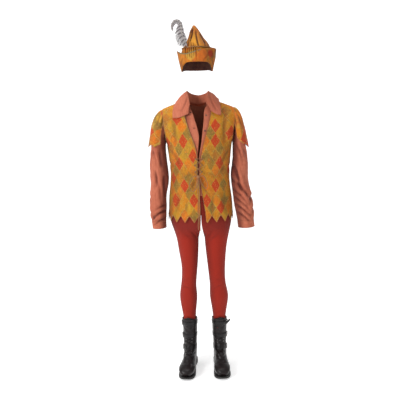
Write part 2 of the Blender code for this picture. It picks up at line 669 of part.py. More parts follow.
def shoulder_width(rise, start):
    """Half width of the full ellipse that the shoulder's panels lie on."""
    edge = curve_value(SHOULDER, "rise", "half_width", rise)
    return edge / math.sin(math.radians(side_angle(rise, start)))


def torso_point(angle, height, rise, inset, facing, start=0.0, folds=()):
    """Point of the torso at an angle from the middle of the front or the back.

    facing is 1 on the front and -1 on the back. Below the armpit the height counts,
    above it the rise, which goes from 0 at the armpit to 1 on the shoulder ridge.
    """
    level = min(height, ARMPIT)
    name = "front" if facing > 0 else "back"
    depth = curve_value(TORSO, "height", name, level)
    width = curve_value(TORSO, "height", "half_width", level)
    if rise > 0:
        width = shoulder_width(rise, start)
    if folds:
        turned = angle if facing > 0 else math.copysign(180.0, angle) - angle
        inset -= fold_relief(folds, turned, height, TORSO_RADIUS)
    turn = math.radians(angle)
    x = (width - inset) * math.sin(turn)
    y = -facing * (depth - inset) * math.cos(turn) * math.sqrt(max(1 - rise * rise, 0.0))
    if rise > 0:
        height = ARMPIT + (ridge_height(x) - inset - ARMPIT) * rise
    seam = -facing * SEAM / 2
    return Vector((x, y + seam, height))


def layer_inset(base, rise):
    """Depth of the shirt below the jerkin's face, smaller on the shoulder ridge."""
    return mix(base, SHIRT_RIDGE_INSET, clamp(rise) ** 6)


def panel_level(row, bottom, below):
    """Height and rise of a panel's row, with the rows close together near the ridge."""
    if row <= below:
        return mix(bottom, ARMPIT, row / below), 0.0
    rise = math.sin(math.pi / 2 * (row - below) / PANEL_ROWS_ABOVE)
    return mix(ARMPIT, RIDGE_AT_NECK, rise), rise


def edge_angle(table, side, height, rise, start):
    """Angle at which a front's free edge lies."""
    x = curve_value(table, "height", "left" if side > 0 else "right", height) * side
    width = curve_value(TORSO, "height", "half_width", min(height, ARMPIT))
    if rise > 0:
        width = shoulder_width(rise, start)
    return math.degrees(math.asin(clamp(x / width, -1.0, 1.0)))


def hem_marks(first, total):
    """Places of the hem's tips and notches, measured from the front edge."""
    marks = [0.0, first]
    while marks[-1] + HEM_PITCH * 1.5 < total:
        marks.append(marks[-1] + HEM_PITCH)
    marks.append(total)
    return marks


def hem_height(place, first, first_is_tip):
    """Height of the dagged hem at a place along it."""
    turn = (place - first) / HEM_PITCH
    away = abs((turn + 1.0) % 2.0 - 1.0)
    tip_share = 1.0 - away if first_is_tip else away
    return mix(HEM_NOTCH, HEM_TIP, tip_share)


def quarter_arc(width, depth, angle, steps=60):
    """Length along an ellipse from its front to an angle."""
    total = 0.0
    for step in range(steps):
        turn = math.radians(angle) * (step + 0.5) / steps
        total += math.hypot(width * math.cos(turn), depth * math.sin(turn))
    return total * math.radians(abs(angle)) / steps


def angle_at_arc(width, depth, arc):
    """Angle at which an ellipse's arc from its front has a length."""
    low, high = 0.0, 90.0
    for _ in range(30):
        middle = (low + high) / 2
        if quarter_arc(width, depth, middle) < arc:
            low = middle
        else:
            high = middle
    return (low + high) / 2


# Jerkin

def jerkin_front(side):
    """One laced front: dagged hem, free front edge, armhole and shoulder seam."""
    name = "jerkin_front_left" if side > 0 else "jerkin_front_right"
    width = curve_value(TORSO, "height", "half_width", HEM_NOTCH)
    depth = curve_value(TORSO, "height", "front", HEM_NOTCH)
    edge_x = curve_value(JERKIN_EDGE, "height", "left" if side > 0 else "right", HEM_NOTCH) * side
    edge_turn = math.degrees(math.asin(abs(edge_x) / width))
    start_arc = math.copysign(quarter_arc(width, depth, edge_turn), edge_x)
    total = quarter_arc(width, depth, 90.0) - start_arc
    first = HEM_FIRST_LEFT if side > 0 else HEM_FIRST_RIGHT
    marks = hem_marks(first, total)
    start_angle = edge_angle(JERKIN_EDGE, side, HEM_NOTCH, 0.0, 0.0)
    shares = []
    for mark in marks:
        arc = start_arc + mark
        angle = math.copysign(angle_at_arc(width, depth, abs(arc)), arc)
        shares.append((angle - start_angle) / (SIDE_ANGLE - start_angle))
    shares[0], shares[-1] = 0.0, 1.0
    columns = len(marks) - 1
    rows = JERKIN_ROWS_BELOW + PANEL_ROWS_ABOVE

    def point(u, v, inset):
        column = round(u * columns)
        row = round(v * rows)
        height, rise = panel_level(row - 1, ABOVE_NOTCHES, JERKIN_ROWS_BELOW - 1)
        if row == 0:
            height = hem_height(marks[column], first, side > 0)
        low = edge_angle(JERKIN_EDGE, side, height, rise, 0.0)
        angle = mix(low, side_angle(rise, 0.0), shares[column])
        return torso_point(angle * side, height, rise, inset, 1, folds=JERKIN_FOLDS)

    return wall_sheet(name, "jerkin", columns, rows, point, JERKIN_WALL)


def jerkin_back():
    """The back in one piece, from side seam to side seam."""
    width = curve_value(TORSO, "height", "half_width", HEM_NOTCH)
    depth = curve_value(TORSO, "height", "back", HEM_NOTCH)
    quarter = quarter_arc(width, depth, 90.0)
    rows = JERKIN_ROWS_BELOW + PANEL_ROWS_ABOVE
    shares = []
    for column in range(BACK_COLUMNS + 1):
        arc = (column / BACK_COLUMNS * 2 - 1) * quarter
        shares.append(math.copysign(angle_at_arc(width, depth, abs(arc)), arc) / SIDE_ANGLE)

    def point(u, v, inset):
        column = round(u * BACK_COLUMNS)
        row = round(v * rows)
        height, rise = panel_level(row - 1, ABOVE_NOTCHES, JERKIN_ROWS_BELOW - 1)
        if row == 0:
            height = HEM_TIP if column % 2 == 0 else HEM_NOTCH
        angle = shares[column] * side_angle(rise, 0.0)
        rise *= back_neck_limit(angle, rise, JERKIN_NECK_RISE, JERKIN_BACK_NECK_SIDE)
        return torso_point(angle, height, rise, inset, -1, folds=JERKIN_FOLDS)

    return wall_sheet("jerkin_back", "jerkin", BACK_COLUMNS, rows, point, JERKIN_WALL)


def back_neck_limit(angle, rise, middle, neck_side):
    """Share of its rise that a back's column keeps, lower below the neck opening."""
    x = abs(shoulder_width(rise, 0.0) * math.sin(math.radians(angle)))
    return mix(middle, 1.0, clamp(x / neck_side) ** 2) if rise > 0 else 1.0


def armhole_point(rise, facing, side, inset, start):
    """Point on the armhole's edge."""
    angle = side_angle(rise, start) * side
    return torso_point(angle, ARMPIT, max(rise, 0.0001), inset, facing, start)


def jerkin_cap(side):
    """Cap sleeve: an open wing over the shoulder, with a dagged hem."""
    table = LEFT_CAP if side > 0 else RIGHT_CAP
    name = "jerkin_cap_left" if side > 0 else "jerkin_cap_right"
    last = len(table) - 1

    def point(u, v, inset):
        step = u * last
        facing = 1 if step < last / 2 else -1
        seam = armhole_point(step_value(table, "seam_rise", step), facing, side, 0.0, 0.0)
        seam.x += CAP_SEAM_GAP * side
        bend = Vector((step_value(table, "bend_x", step) * side, step_value(table, "bend_y", step),
                       step_value(table, "bend_height", step)))
        hem = Vector((step_value(table, "hem_x", step) * side, step_value(table, "hem_y", step),
                      step_value(table, "hem_height", step)))
        place = seam * (1 - v) ** 2 + bend * 2 * v * (1 - v) + hem * v * v
        core = Vector((CAP_CORE_X * side, 0.0, mix(CAP_CORE_TOP, ARMPIT, v)))
        if inset:
            place += (core - place).normalized() * inset
            place.x = side * max(place.x * side, seam.x * side)
        return place

    return wall_sheet(name, "jerkin", last * 2, CAP_ROWS, point, JERKIN_WALL)


# Shirt

def shirt_front(side):
    """One front of the shirt, open at the neck and tucked into the hose."""
    name = "shirt_front_left" if side > 0 else "shirt_front_right"
    start = SHIRT_ARMHOLE_START

    def point(u, v, inset):
        height, rise = shirt_level(round(v * SHIRT_ROWS))
        low = edge_angle(SHIRT_EDGE, side, height, rise, start)
        angle = mix(low, side_angle(rise, start), u)
        return torso_point(angle * side, height, rise, inset + layer_inset(SHIRT_INSET, rise), 1, start)

    return wall_sheet(name, "shirt", SHIRT_COLUMNS, SHIRT_ROWS, point, SHIRT_WALL)


def shirt_level(row):
    """Height and rise of a shirt's row; two of the levels are the waistband's edges."""
    if row < len(SHIRT_LEVELS):
        return SHIRT_LEVELS[row], 0.0
    return panel_level(row, SHIRT_LEVELS[0], len(SHIRT_LEVELS))


def shirt_back():
    """The back of the shirt in one piece."""
    start = SHIRT_ARMHOLE_START

    def point(u, v, inset):
        height, rise = shirt_level(round(v * SHIRT_ROWS))
        angle = (u * 2 - 1) * side_angle(rise, start)
        rise *= back_neck_limit(angle, rise, SHIRT_NECK_RISE, NECK_SIDE)
        return torso_point(angle, height, rise, inset + layer_inset(SHIRT_INSET, rise), -1, start)

    return wall_sheet("shirt_back", "shirt", SHIRT_COLUMNS * 2, SHIRT_ROWS, point, SHIRT_WALL)


def sleeve_ring(table, side, u, step, inset):
    """Point on a sleeve's ring, which turns from the armhole's plane to lie across the arm."""
    turn = math.tau * u
    y = step_value(table, "y", step)
    outer = Vector((step_value(table, "outer_x", step) * side, y, step_value(table, "outer_z", step)))
    inner = Vector((step_value(table, "inner_x", step) * side, y, step_value(table, "inner_z", step)))
    centre = (outer + inner) / 2
    folds = LEFT_SLEEVE_FOLDS if side > 0 else RIGHT_SLEEVE_FOLDS
    outward = (outer - inner).normalized()
    inset_here = inset - fold_relief(folds, math.degrees(turn), centre.z, ARM_RADIUS)
    half_width = (outer - inner).length / 2 - inset_here
    half_depth = step_value(table, "half_depth", step) - inset_here
    ring = centre + outward * half_width * math.cos(turn)
    ring.y -= half_depth * math.sin(turn)
    own = step_value(table, "own", step)
    if own >= 1.0:
        return ring
    start = SHIRT_ARMHOLE_START
    rise = mix(start, 1.0, math.sin(math.pi / 2 * abs(u * 2 - 1)))
    facing = 1 if u < 0.5 else -1
    layer = layer_inset(SHIRT_INSET, rise)
    hole = armhole_point(rise, facing, side, layer + inset, start)
    hole.x = armhole_point(rise, facing, side, layer, start).x
    hole.x += (CAP_SEAM_GAP + step * SLEEVE_HEAD_STEP) * side
    return mix(hole, ring, own)


def sleeve(side):
    """Long sleeve from the armhole to the cuff."""
    table = LEFT_SLEEVE if side > 0 else RIGHT_SLEEVE
    name = "shirt_sleeve_left" if side > 0 else "shirt_sleeve_right"
    last = len(table) - 2

    def point(u, v, inset):
        return sleeve_ring(table, side, u, v * last, inset)

    return wall_sheet(name, "shirt", SLEEVE_COLUMNS, last, point, SHIRT_WALL, closed=True)


def cuff(side):
    """Plain band that ends a sleeve, open at the wrist."""
    table = LEFT_SLEEVE if side > 0 else RIGHT_SLEEVE
    name = "shirt_cuff_left" if side > 0 else "shirt_cuff_right"
    last = len(table) - 2

    def point(u, v, inset):
        place = sleeve_ring(table, side, u, last + v, inset - CUFF_SPREAD * v)
        place.z -= SEAM * 1.5 * (1 - v)
        return place

    return wall_sheet(name, "shirt", SLEEVE_COLUMNS, 1, point, SHIRT_WALL, closed=True)


def collar_place(u, line):
    """Point on the collar's base, fold or outer edge; u runs from the right end to the left end."""
    side = 1 if u >= 0.5 else -1
    table = LEFT_COLLAR if side > 0 else RIGHT_COLLAR
    step = abs(u * 2 - 1) * (len(table) - 1)
    x = step_value(table, line + "_x", step) * side
    return Vector((x, step_value(table, line + "_y", step), step_value(table, line + "_height", step)))


def collar_stand():
    """Upright band between the neckline and the collar's fold."""
    def point(u, v, inset):
        base = collar_place(u, "base")
        fold = collar_place(u, "fold")
        top = fold - (fold - base).normalized() * SEAM
        place = mix(base, top, v)
        inward = Vector((-place.x, COLLAR_CENTRE_Y - place.y, 0.0)).normalized()
        return place + inward * inset

    return wall_sheet("shirt_collar_stand", "shirt", COLLAR_COLUMNS, 1, point, SHIRT_WALL)


def collar_fall():
    """Open collar that spreads over the jerkin's shoulders in two points."""
    def point(u, v, inset):
        fold = collar_place(u, "fold")
        edge = collar_place(u, "edge")
        place = mix(fold, edge, v)
        away = Vector((place.x, place.y, 0.0)).normalized()
        place += (away + Vector((0, 0, 1))) * COLLAR_FOLD_LIFT * (1 - v)
        lift = COLLAR_BULGE * math.sin(math.pi * v)
        place += (away * 0.6 + Vector((0, 0, 0.8))) * lift
        slope = (edge - fold).normalized()
        after = collar_place(min(u + COLLAR_SLOPE_STEP, 1.0), "fold")
        before = collar_place(max(u - COLLAR_SLOPE_STEP, 0.0), "fold")
        normal = (after - before).cross(slope).normalized()
        if normal.dot(away + Vector((0, 0, 0.5))) < 0:
            normal.negate()
        return place - normal * inset

    return wall_sheet("shirt_collar_fall", "shirt", COLLAR_COLUMNS, COLLAR_ROWS, point, SHIRT_WALL)


def front_spot(table, side, height, from_edge, lift, start, base_inset):
    """Point and outward direction on a front, beside its free edge."""
    rise = clamp((height - ARMPIT) / (RIDGE_AT_NECK - ARMPIT))
    inset = layer_inset(base_inset, rise) if base_inset else 0.0
    width = curve_value(TORSO, "height", "half_width", height)
    if rise > 0:
        width = shoulder_width(rise, start)
    angle = edge_angle(table, side, height, rise, start) + math.degrees(from_edge / width)
    folds = () if base_inset else JERKIN_FOLDS
    place = torso_point(angle * side, height, rise, inset - lift, 1, start, folds)
    under = torso_point(angle * side, height, rise, inset, 1, start, folds)
    low_rise = max(rise - SLOPE_RISE, 0.0)
    below = torso_point(angle * side, height - SLOPE_HEIGHT, low_rise, inset, 1, start, folds)
    beside = torso_point((angle + SLOPE_ANGLE) * side, height, rise, inset, 1, start, folds)
    outward = (below - under).cross(beside - under)
    if outward.y > 0:
        outward.negate()
    return place, outward.normalized()


def buttons():
    """Small horn buttons down the edge of the shirt's left front."""
    for index, height in enumerate(BUTTON_HEIGHTS):
        lift = BUTTON_DEPTH / 2 - BUTTON_SINK
        place, outward = front_spot(
            SHIRT_EDGE, 1, height, BUTTON_FROM_EDGE, lift, SHIRT_ARMHOLE_START, SHIRT_INSET)
        shape = bmesh.new()
        turn = Vector((0, 0, 1)).rotation_difference(outward).to_matrix().to_4x4()
        bmesh.ops.create_cone(
            shape, cap_ends=True, segments=BUTTON_SIDES, radius1=BUTTON_RADIUS,
            radius2=BUTTON_RADIUS * BUTTON_TOP_SHARE,
            depth=BUTTON_DEPTH, matrix=Matrix.Translation(place) @ turn)
        add_mesh(f"shirt_button_{index + 1}", shape, "button")


# Lacing

def eyelet_spot(side, height, lift):
    """Place above an eyelet on a jerkin front."""
    return front_spot(JERKIN_EDGE, side, height, EYELET_FROM_EDGE, lift, 0.0, 0.0)


def eyelets():
    """Brass rings that the thong passes through."""
    for side, word in ((-1, "right"), (1, "left")):
        for index, height in enumerate(EYELET_HEIGHTS):
            centre, outward = eyelet_spot(side, height, EYELET_LIFT)
            first = outward.cross(Vector((0, 0, 1))).normalized()
            second = outward.cross(first).normalized()
            ring = []
            for step in range(EYELET_SIDES):
                turn = math.tau * step / EYELET_SIDES
                ring.append(centre + (first * math.cos(turn) + second * math.sin(turn)) * EYELET_RADIUS)
            thread(f"jerkin_eyelet_{word}_{index + 1}", "brass", ring, EYELET_WIRE, 0, cyclic=True)


def lacing():
    """The laced stretch: a bar at the top and two strands that cross down to the knot."""
    spots = []
    for side in (-1, 1):
        spots.append([eyelet_spot(side, height, THONG_LIFT)[0] for height in EYELET_HEIGHTS])
    right, left = spots
    above_knot = KNOT + Vector((0, 0, KNOT_SIZE.z + SEAM))
    apart = Vector((THONG_ENDS_APART, 0, 0))
    under = [left[0], right[0], left[1], right[2], above_knot - apart]
    over = [left[0] - Vector((0, 0, THONG_START_DROP)), right[1], left[2], above_knot + apart]
    for name, stops, lift in (("thong_strand_under", under, 0.0),
                              ("thong_strand_over", over, THONG_CROSS_LIFT)):
        route = []
        for start, end in zip(stops, stops[1:]):
            for step in range(THONG_HUMP_STEPS):
                part = step / THONG_HUMP_STEPS
                hump = Vector((0, -lift * math.sin(math.pi * part), 0))
                route.append(mix(start, end, part) + hump)
        route.append(stops[-1])
        thread(name, "thong", smooth_route(route, THONG_STEP), THONG_RADIUS, 1)


def knot():
    """The bow's knot, a small rounded lump of thong."""
    shape = bmesh.new()
    bmesh.ops.create_icosphere(shape, subdivisions=2, radius=1.0)
    bmesh.ops.scale(shape, vec=KNOT_SIZE, verts=shape.verts)
    bmesh.ops.translate(shape, vec=KNOT, verts=shape.verts)
    add_mesh("thong_knot", shape, "thong")


def bow():
    """Free loops and tails of the thong."""
    for name, route in (("thong_loop_right", LOOP_RIGHT), ("thong_loop_left", LOOP_LEFT),
                        ("thong_tail_right", TAIL_RIGHT), ("thong_tail_left", TAIL_LEFT)):
        thread(name, "thong", smooth_route(route, THONG_RADIUS * 5), THONG_RADIUS, 2)


# Hose

def leg_point(side, u, row, inset):
    """Point of a hose leg: hip rows, then leg rings, then rings inside the boot."""
    table = LEFT_LEG if side > 0 else RIGHT_LEG
    turn = math.tau * u
    hips = len(HIP_LEVELS)
    if row < hips:
        level = HIP_LEVELS[row]
        around = 180.0 * u
        facing = 1 if around <= 90 else -1
        angle = around if around <= 90 else 180 - around
        hip = torso_point(angle * side, level, 0.0, HOSE_INSET + inset, facing)
        hip.x = side * max(hip.x * side, SEAM)
        share = HIP_OWN[row]
        crotch_pull = CROTCH_PULL * (1 - share)
        height = mix(level, CROTCH, crotch_pull * abs(math.cos(math.pi * u)) ** 3)
        ring = ring_point(table[0], side, turn, inset, -math.pi)
        place = mix(ring, hip, share)
        place.z = height
        place.x = side * max(place.x * side, SEAM)
        return place
    if row < hips + len(table):
        return ring_point(table[row - hips], side, turn, inset, -math.pi)
    ring = row - hips - len(table)
    around = 0.5 - u if side > 0 else u
    return boot_point(side, around, BOOT_RINGS[ring], LEATHER_WALL + BOOT_SLACK[ring] + inset)


def ring_point(row, side, turn, inset, start):
    """Point on a level ring; the turn starts at the inner side and goes round by the front."""
    x = row.x * side + side * (row.half_width - inset) * math.cos(turn + start)
    y = row.y + (row.half_depth - inset) * math.sin(turn + start)
    return Vector((x, y, row.height))


def hose_leg(side):
    """One leg with its half of the hips, joined to the other along the middle seam."""
    name = "hose_leg_left" if side > 0 else "hose_leg_right"
    closed = len(RIGHT_LEG) + len(BOOT_RINGS)
    rows = len(HIP_LEVELS) + closed - 1

    def point(u, v, inset):
        return leg_point(side, u, rows - round(v * rows), inset)

    return wall_sheet(name, "hose", LEG_COLUMNS, rows, point, HOSE_WALL, closed_rows=closed)


def waistband():
    """Band round the top of the hose."""
    def point(u, v, inset):
        angle = u * 360.0
        facing = 1 if angle <= 90 or angle >= 270 else -1
        if facing > 0:
            flat = angle if angle <= 90 else angle - 360
        else:
            flat = 180 - angle
        height = mix(WAISTBAND_BOTTOM, WAISTBAND_TOP, v)
        return torso_point(flat, height, 0.0, HOSE_INSET + inset, facing)

    return wall_sheet("hose_waistband", "hose", SHIRT_COLUMNS * 4, 1, point, HOSE_WALL, closed=True)


# Boots

def boot_point(side, u, row, inset):
    """Point on a boot's ring; u 0 is the outer side, 0.25 the front and 0.75 the back."""
    place = LEFT_BOOT if side > 0 else RIGHT_BOOT
    turn = math.tau * u
    front = Vector((0, step_value(BOOT, "front_y", row), step_value(BOOT, "front_z", row)))
    back = Vector((0, step_value(BOOT, "back_y", row), step_value(BOOT, "back_z", row)))
    along = (front - back) / 2
    half_length = along.length
    power = 2.0 / step_value(BOOT, "square", row)
    sine = math.copysign(abs(math.sin(turn)) ** power, math.sin(turn))
    cosine = math.copysign(abs(math.cos(turn)) ** power, math.cos(turn))
    half_width = step_value(BOOT, "half_width", row)
    local = (front + back) / 2 + along * (1 - inset / half_length) * sine
    local.x = (half_width - inset) * cosine
    return turned_place(place, local)


def turned_place(place, local):
    """Turn a boot's own point to where the boot stands."""
    turned = Matrix.Rotation(math.radians(place.turn), 3, "Z") @ local
    return turned + Vector((place.x, place.y, 0.0))


def boot_upper(side, word):
    """Shaft and foot in one leather wall, open at the top."""
    rows = len(BOOT) - 1

    def point(u, v, inset):
        return boot_point(side, u, v * rows, inset)

    name = f"boot_upper_{word}"
    wall_sheet(name, "boot", BOOT_COLUMNS, rows, point, LEATHER_WALL, closed=True, cap=True)


def boot_straps(side, word):
    """Straps round the shaft, each with a buckle frame on the outer side."""
    for index, (top, bottom) in enumerate(STRAP_SPANS):
        def point(u, v, inset):
            return boot_point(side, u, mix(top, bottom, v), inset - STRAP_LIFT - STRAP_WALL)

        name = f"boot_strap_{word}_{index + 1}"
        wall_sheet(name, "boot", BOOT_COLUMNS, 1, point, STRAP_WALL, closed=True)
        boot_buckle(side, f"boot_buckle_{word}_{index + 1}", (top + bottom) / 2)


def boot_buckle(side, name, row):
    """Rectangular buckle frame on the outer front of a strap."""
    corner = 1 if side > 0 else BOOT_COLUMNS // 2 - 1
    outer = corner / BOOT_COLUMNS
    lift = STRAP_LIFT + STRAP_WALL + SEAM
    centre = boot_point(side, outer, row, -lift)
    beside = boot_point(side, outer + BUCKLE_SLOPE, row, -lift)
    across = (beside - centre).normalized()
    above = boot_point(side, outer, row - BUCKLE_RISE, -lift)
    up = above - boot_point(side, outer, row + BUCKLE_RISE, -lift)
    outward = across.cross(up).normalized()
    if outward.x * side < 0:
        outward.negate()
    up = outward.cross(across).normalized()
    shape = bmesh.new()
    loops = []
    for half_across, half_up in (BUCKLE_OUTER, BUCKLE_INNER):
        for depth in (0.0, BUCKLE_WIRE):
            corners = []
            for one, two in ((-1, -1), (1, -1), (1, 1), (-1, 1)):
                place = centre + across * half_across * one + up * half_up * two + outward * depth
                corners.append(shape.verts.new(place))
            loops.append(corners)
    back_outer, front_outer, back_inner, front_inner = loops
    for first, second in ((back_outer, front_outer), (front_outer, front_inner),
                          (front_inner, back_inner), (back_inner, back_outer)):
        for corner in range(4):
            after = (corner + 1) % 4
            shape.faces.new((first[corner], first[after], second[after], second[corner]))
    add_mesh(name, shape, "metal")


def boot_toe_cap(side, word):
    """Second layer of leather over the toe."""
    start, end = TOE_CAP_ROWS
    columns = BOOT_COLUMNS // 2 - 2

    def point(u, v, inset):
        around = mix(1, columns + 1, u) / BOOT_COLUMNS
        return boot_point(side, around, mix(start, end, v), inset - STRAP_LIFT - TOE_CAP_WALL)

    wall_sheet(f"boot_toe_cap_{word}", "boot", columns, end - start, point, TOE_CAP_WALL)


def boot_tongue(side, word):
    """Tongue that stands above the shaft at the front."""
    def point(u, v, inset):
        around = mix(2, 2 + TONGUE_COLUMNS, u) / BOOT_COLUMNS
        depth = LEATHER_WALL + TONGUE_GAP + inset
        rim = boot_point(side, around, 0, depth)
        if v < 0.5:
            return mix(boot_point(side, around, 2, depth), rim, v * 2)
        crown = TONGUE_HEIGHT - TONGUE_CORNER_DROP * (u * 2 - 1) ** 2
        return rim + Vector((0, TONGUE_LEAN, crown)) * (v * 2 - 1)

    wall_sheet(f"boot_tongue_{word}", "boot", TONGUE_COLUMNS, 2, point, TONGUE_WALL)


def boot_sole(side, word):
    """Outsole with its heel, lofted through stations from the heel to the toe."""
    place = LEFT_BOOT if side > 0 else RIGHT_BOOT
    shape = bmesh.new()
    stations = []
    for row in SOLE:
        left = row.inner if side > 0 else row.outer
        right = row.outer if side > 0 else row.inner
        corners = []
        for x, z in ((-left, row.bottom), (right, row.bottom), (right, row.top), (-left, row.top)):
            corners.append(shape.verts.new(turned_place(place, Vector((x, row.y, z)))))
        stations.append(corners)
    for first, second in zip(stations, stations[1:]):
        for corner in range(4):
            after = (corner + 1) % 4
            shape.faces.new((first[corner], first[after], second[after], second[corner]))
    shape.faces.new(stations[0])
    shape.faces.new(stations[-1])
    add_mesh(f"boot_sole_{word}", shape, "sole")


# Hat

def hat_line(angle, front, side, back, power=HAT_LINE_POWER):
    """Height of a hat line that changes from the front by the side to the back."""
    turn = math.radians(angle)
    share = math.sin(turn) ** power
    return mix(front if angle < 90 else back, side, share)


def crown_point(side, angle, height, inset):
    """Point of the crown; the angle goes from the front to the back on one side."""
    half_width = curve_value(CROWN, "height", "half_width", height) - inset
    half_width = max(half_width, CROWN_LEAST_WIDTH)
    half_depth = curve_value(CROWN, "height", "half_depth", height) - inset
    half_depth = max(half_depth, CROWN_LEAST_DEPTH)
    turn = math.radians(angle)
    x = curve_value(CROWN, "height", "x", height) + side * (half_width * math.sin(turn) + SEAM / 2)
    y = curve_value(CROWN, "height", "y", height) - half_depth * math.cos(turn)
    return Vector((x, y, height))


def hat_crown(side):
    """Half of the peaked crown, seamed to the other half over the top."""
    name = "hat_crown_left" if side > 0 else "hat_crown_right"
    top = CROWN[-1].height

    def point(u, v, inset):
        angle = 180.0 * u
        low = hat_line(angle, HAT_EDGE_FRONT, HAT_EDGE_SIDE, HAT_EDGE_BACK, HAT_EDGE_POWER)
        height = mix(low, top, v ** CROWN_ROW_POWER)
        place = crown_point(side, angle, height, inset)
        place.z -= inset * ease(v) * CROWN_TOP_WALL
        return place

    return wall_sheet(name, "jerkin", HAT_COLUMNS, CROWN_ROWS, point, HAT_WALL)


def hat_brim(side):
    """Half of the upturned brim, sewn to the crown's lower edge."""
    name = "hat_brim_left" if side > 0 else "hat_brim_right"

    def point(u, v, inset):
        angle = 180.0 * u
        low = hat_line(angle, HAT_EDGE_FRONT, HAT_EDGE_SIDE, HAT_EDGE_BACK, HAT_EDGE_POWER)
        high = hat_line(angle, BRIM_TOP_FRONT, BRIM_TOP_SIDE, BRIM_TOP_BACK)
        high += side * BRIM_TILT * max(math.sin(math.radians(angle * 2)), 0.0)
        flare = hat_line(angle, BRIM_FLARE_FRONT, BRIM_FLARE_SIDE, BRIM_FLARE_FRONT)
        spread = HAT_WALL + BRIM_GAP + flare * v ** BRIM_FLARE_POWER
        spread += BRIM_BULGE * math.sin(math.pi * v)
        return crown_point(side, angle, mix(low, high, v), inset - spread)

    return wall_sheet(name, "jerkin", HAT_COLUMNS, BRIM_ROWS, point, HAT_WALL)


def hat_cord():
    """Twisted cord round the foot of the crown."""
    count = HAT_COLUMNS * 2
    points = []
    for step in range(count):
        angle = 360.0 * step / count
        side = 1 if angle < 180 else -1
        flat = angle if side > 0 else 360.0 - angle
        points.append(crown_point(side, flat, HAT_CORD_HEIGHT, -HAT_CORD_RADIUS - HAT_CORD_GAP))
    thread("hat_cord", "thong", points, HAT_CORD_RADIUS, 1, cyclic=True)


def feather_line(part, name):
    """One named column of the feather's table, smooth along the quill."""
    spots = [FeatherSpot(step, getattr(row, name)) for step, row in enumerate(FEATHER)]
    return curve_value(spots, "step", "value", part * (len(FEATHER) - 1))


def quill_place(part):
    """Centre of the quill at a share of its length."""
    return Vector((feather_line(part, "x"), feather_line(part, "y"), feather_line(part, "height")))


def feather():
    """Quill and the two clumped vanes."""
    route = [quill_place(step / QUILL_STEPS) for step in range(QUILL_STEPS + 1)]
    thread("feather_quill", "quill", route, QUILL_RADIUS, 1)
    for column, way in (("outer", 1), ("inner", -1)):
        def point(u, v, inset):
            part = mix(VANE_START, VANE_END, u)
            after = quill_place(min(part + QUILL_SLOPE, 1))
            along = (after - quill_place(max(part - QUILL_SLOPE, 0))).normalized()
            away = Vector((0, 1, 0)).cross(along).normalized() * -way
            width = max(feather_line(part, column), VANE_LEAST)
            clump = mix(VANE_NOTCH_SHARE, 1.0, abs(math.sin(math.pi * VANE_CLUMPS * part)))
            reach = QUILL_RADIUS + VANE_GAP + width * clump * v
            lean = along * VANE_LEAN * reach * v
            return quill_place(part) + away * reach - lean + Vector((0, VANE_WALL / 2 - inset, 0))

        wall_sheet(f"feather_vane_{column}", "feather", VANE_COLUMNS, 1, point, VANE_WALL)


def build():
    """Make every piece of the costume."""
    clear_scene()
    for side in (-1, 1):
        jerkin_front(side)
        jerkin_cap(side)
        shirt_front(side)
        sleeve(side)
        cuff(side)
        hose_leg(side)
        hat_crown(side)
        hat_brim(side)
        word = "left" if side > 0 else "right"
        boot_upper(side, word)
        boot_straps(side, word)
        boot_toe_cap(side, word)
        boot_tongue(side, word)
        boot_sole(side, word)
    jerkin_back()
    shirt_back()
    collar_stand()
    collar_fall()
    buttons()
    eyelets()
    lacing()
    knot()
    bow()
    waistband()
    hat_cord()
    feather()


build()
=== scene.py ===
"""Looks of a minstrel costume: peaked hat, shirt, laced harlequin jerkin, knit hose and boots.

Heights in the tables are above the floor that the boots stand on, in metres, but in millimetres
where creases are listed. The frame's own z is SHOULDER_LINE lower. The front faces -Y, and the
wearer's right side is at -X.
"""
from __future__ import annotations

import json
import logging
import math
from collections.abc import Sequence
from dataclasses import dataclass, field
from enum import Enum

import bmesh
import bpy
import numpy as np
from mathutils import Matrix, Vector
from mathutils.bvhtree import BVHTree

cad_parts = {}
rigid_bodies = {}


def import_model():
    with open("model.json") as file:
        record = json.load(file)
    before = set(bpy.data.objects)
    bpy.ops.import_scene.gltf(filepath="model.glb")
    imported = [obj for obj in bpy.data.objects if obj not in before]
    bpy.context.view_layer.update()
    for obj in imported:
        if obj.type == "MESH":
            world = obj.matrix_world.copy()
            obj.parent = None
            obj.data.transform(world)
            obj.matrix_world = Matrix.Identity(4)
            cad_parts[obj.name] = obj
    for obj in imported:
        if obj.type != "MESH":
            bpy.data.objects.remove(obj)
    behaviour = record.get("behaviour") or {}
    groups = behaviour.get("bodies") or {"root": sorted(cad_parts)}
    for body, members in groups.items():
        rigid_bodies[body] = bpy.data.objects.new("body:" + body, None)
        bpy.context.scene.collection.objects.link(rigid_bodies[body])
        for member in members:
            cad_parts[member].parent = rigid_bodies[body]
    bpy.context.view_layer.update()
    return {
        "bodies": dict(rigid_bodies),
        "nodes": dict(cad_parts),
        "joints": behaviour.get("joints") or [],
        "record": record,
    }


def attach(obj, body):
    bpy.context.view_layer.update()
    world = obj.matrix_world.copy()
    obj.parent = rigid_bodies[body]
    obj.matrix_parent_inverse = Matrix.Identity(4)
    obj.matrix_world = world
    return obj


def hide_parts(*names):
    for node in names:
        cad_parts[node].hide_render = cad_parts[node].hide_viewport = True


LOG = logging.getLogger("minstrel_costume")

SHOULDER_LINE = 1.53
MERGE = 0.00002
SLOT_JERKIN = "jerkin_cloth"
SLOT_SHIRT = "shirt_cotton"
SLOT_HAT = "hat_cloth"
SLOT_BOOT = "boot_leather"
SLOT_STEEL = "buckle_steel"
SLOT_THONG = "thong_leather"
FULL_TURN = 2 * math.pi
FITTING_ROUNDS = 3

Place = tuple[float, float, float]
Colour = tuple[float, float, float, float]


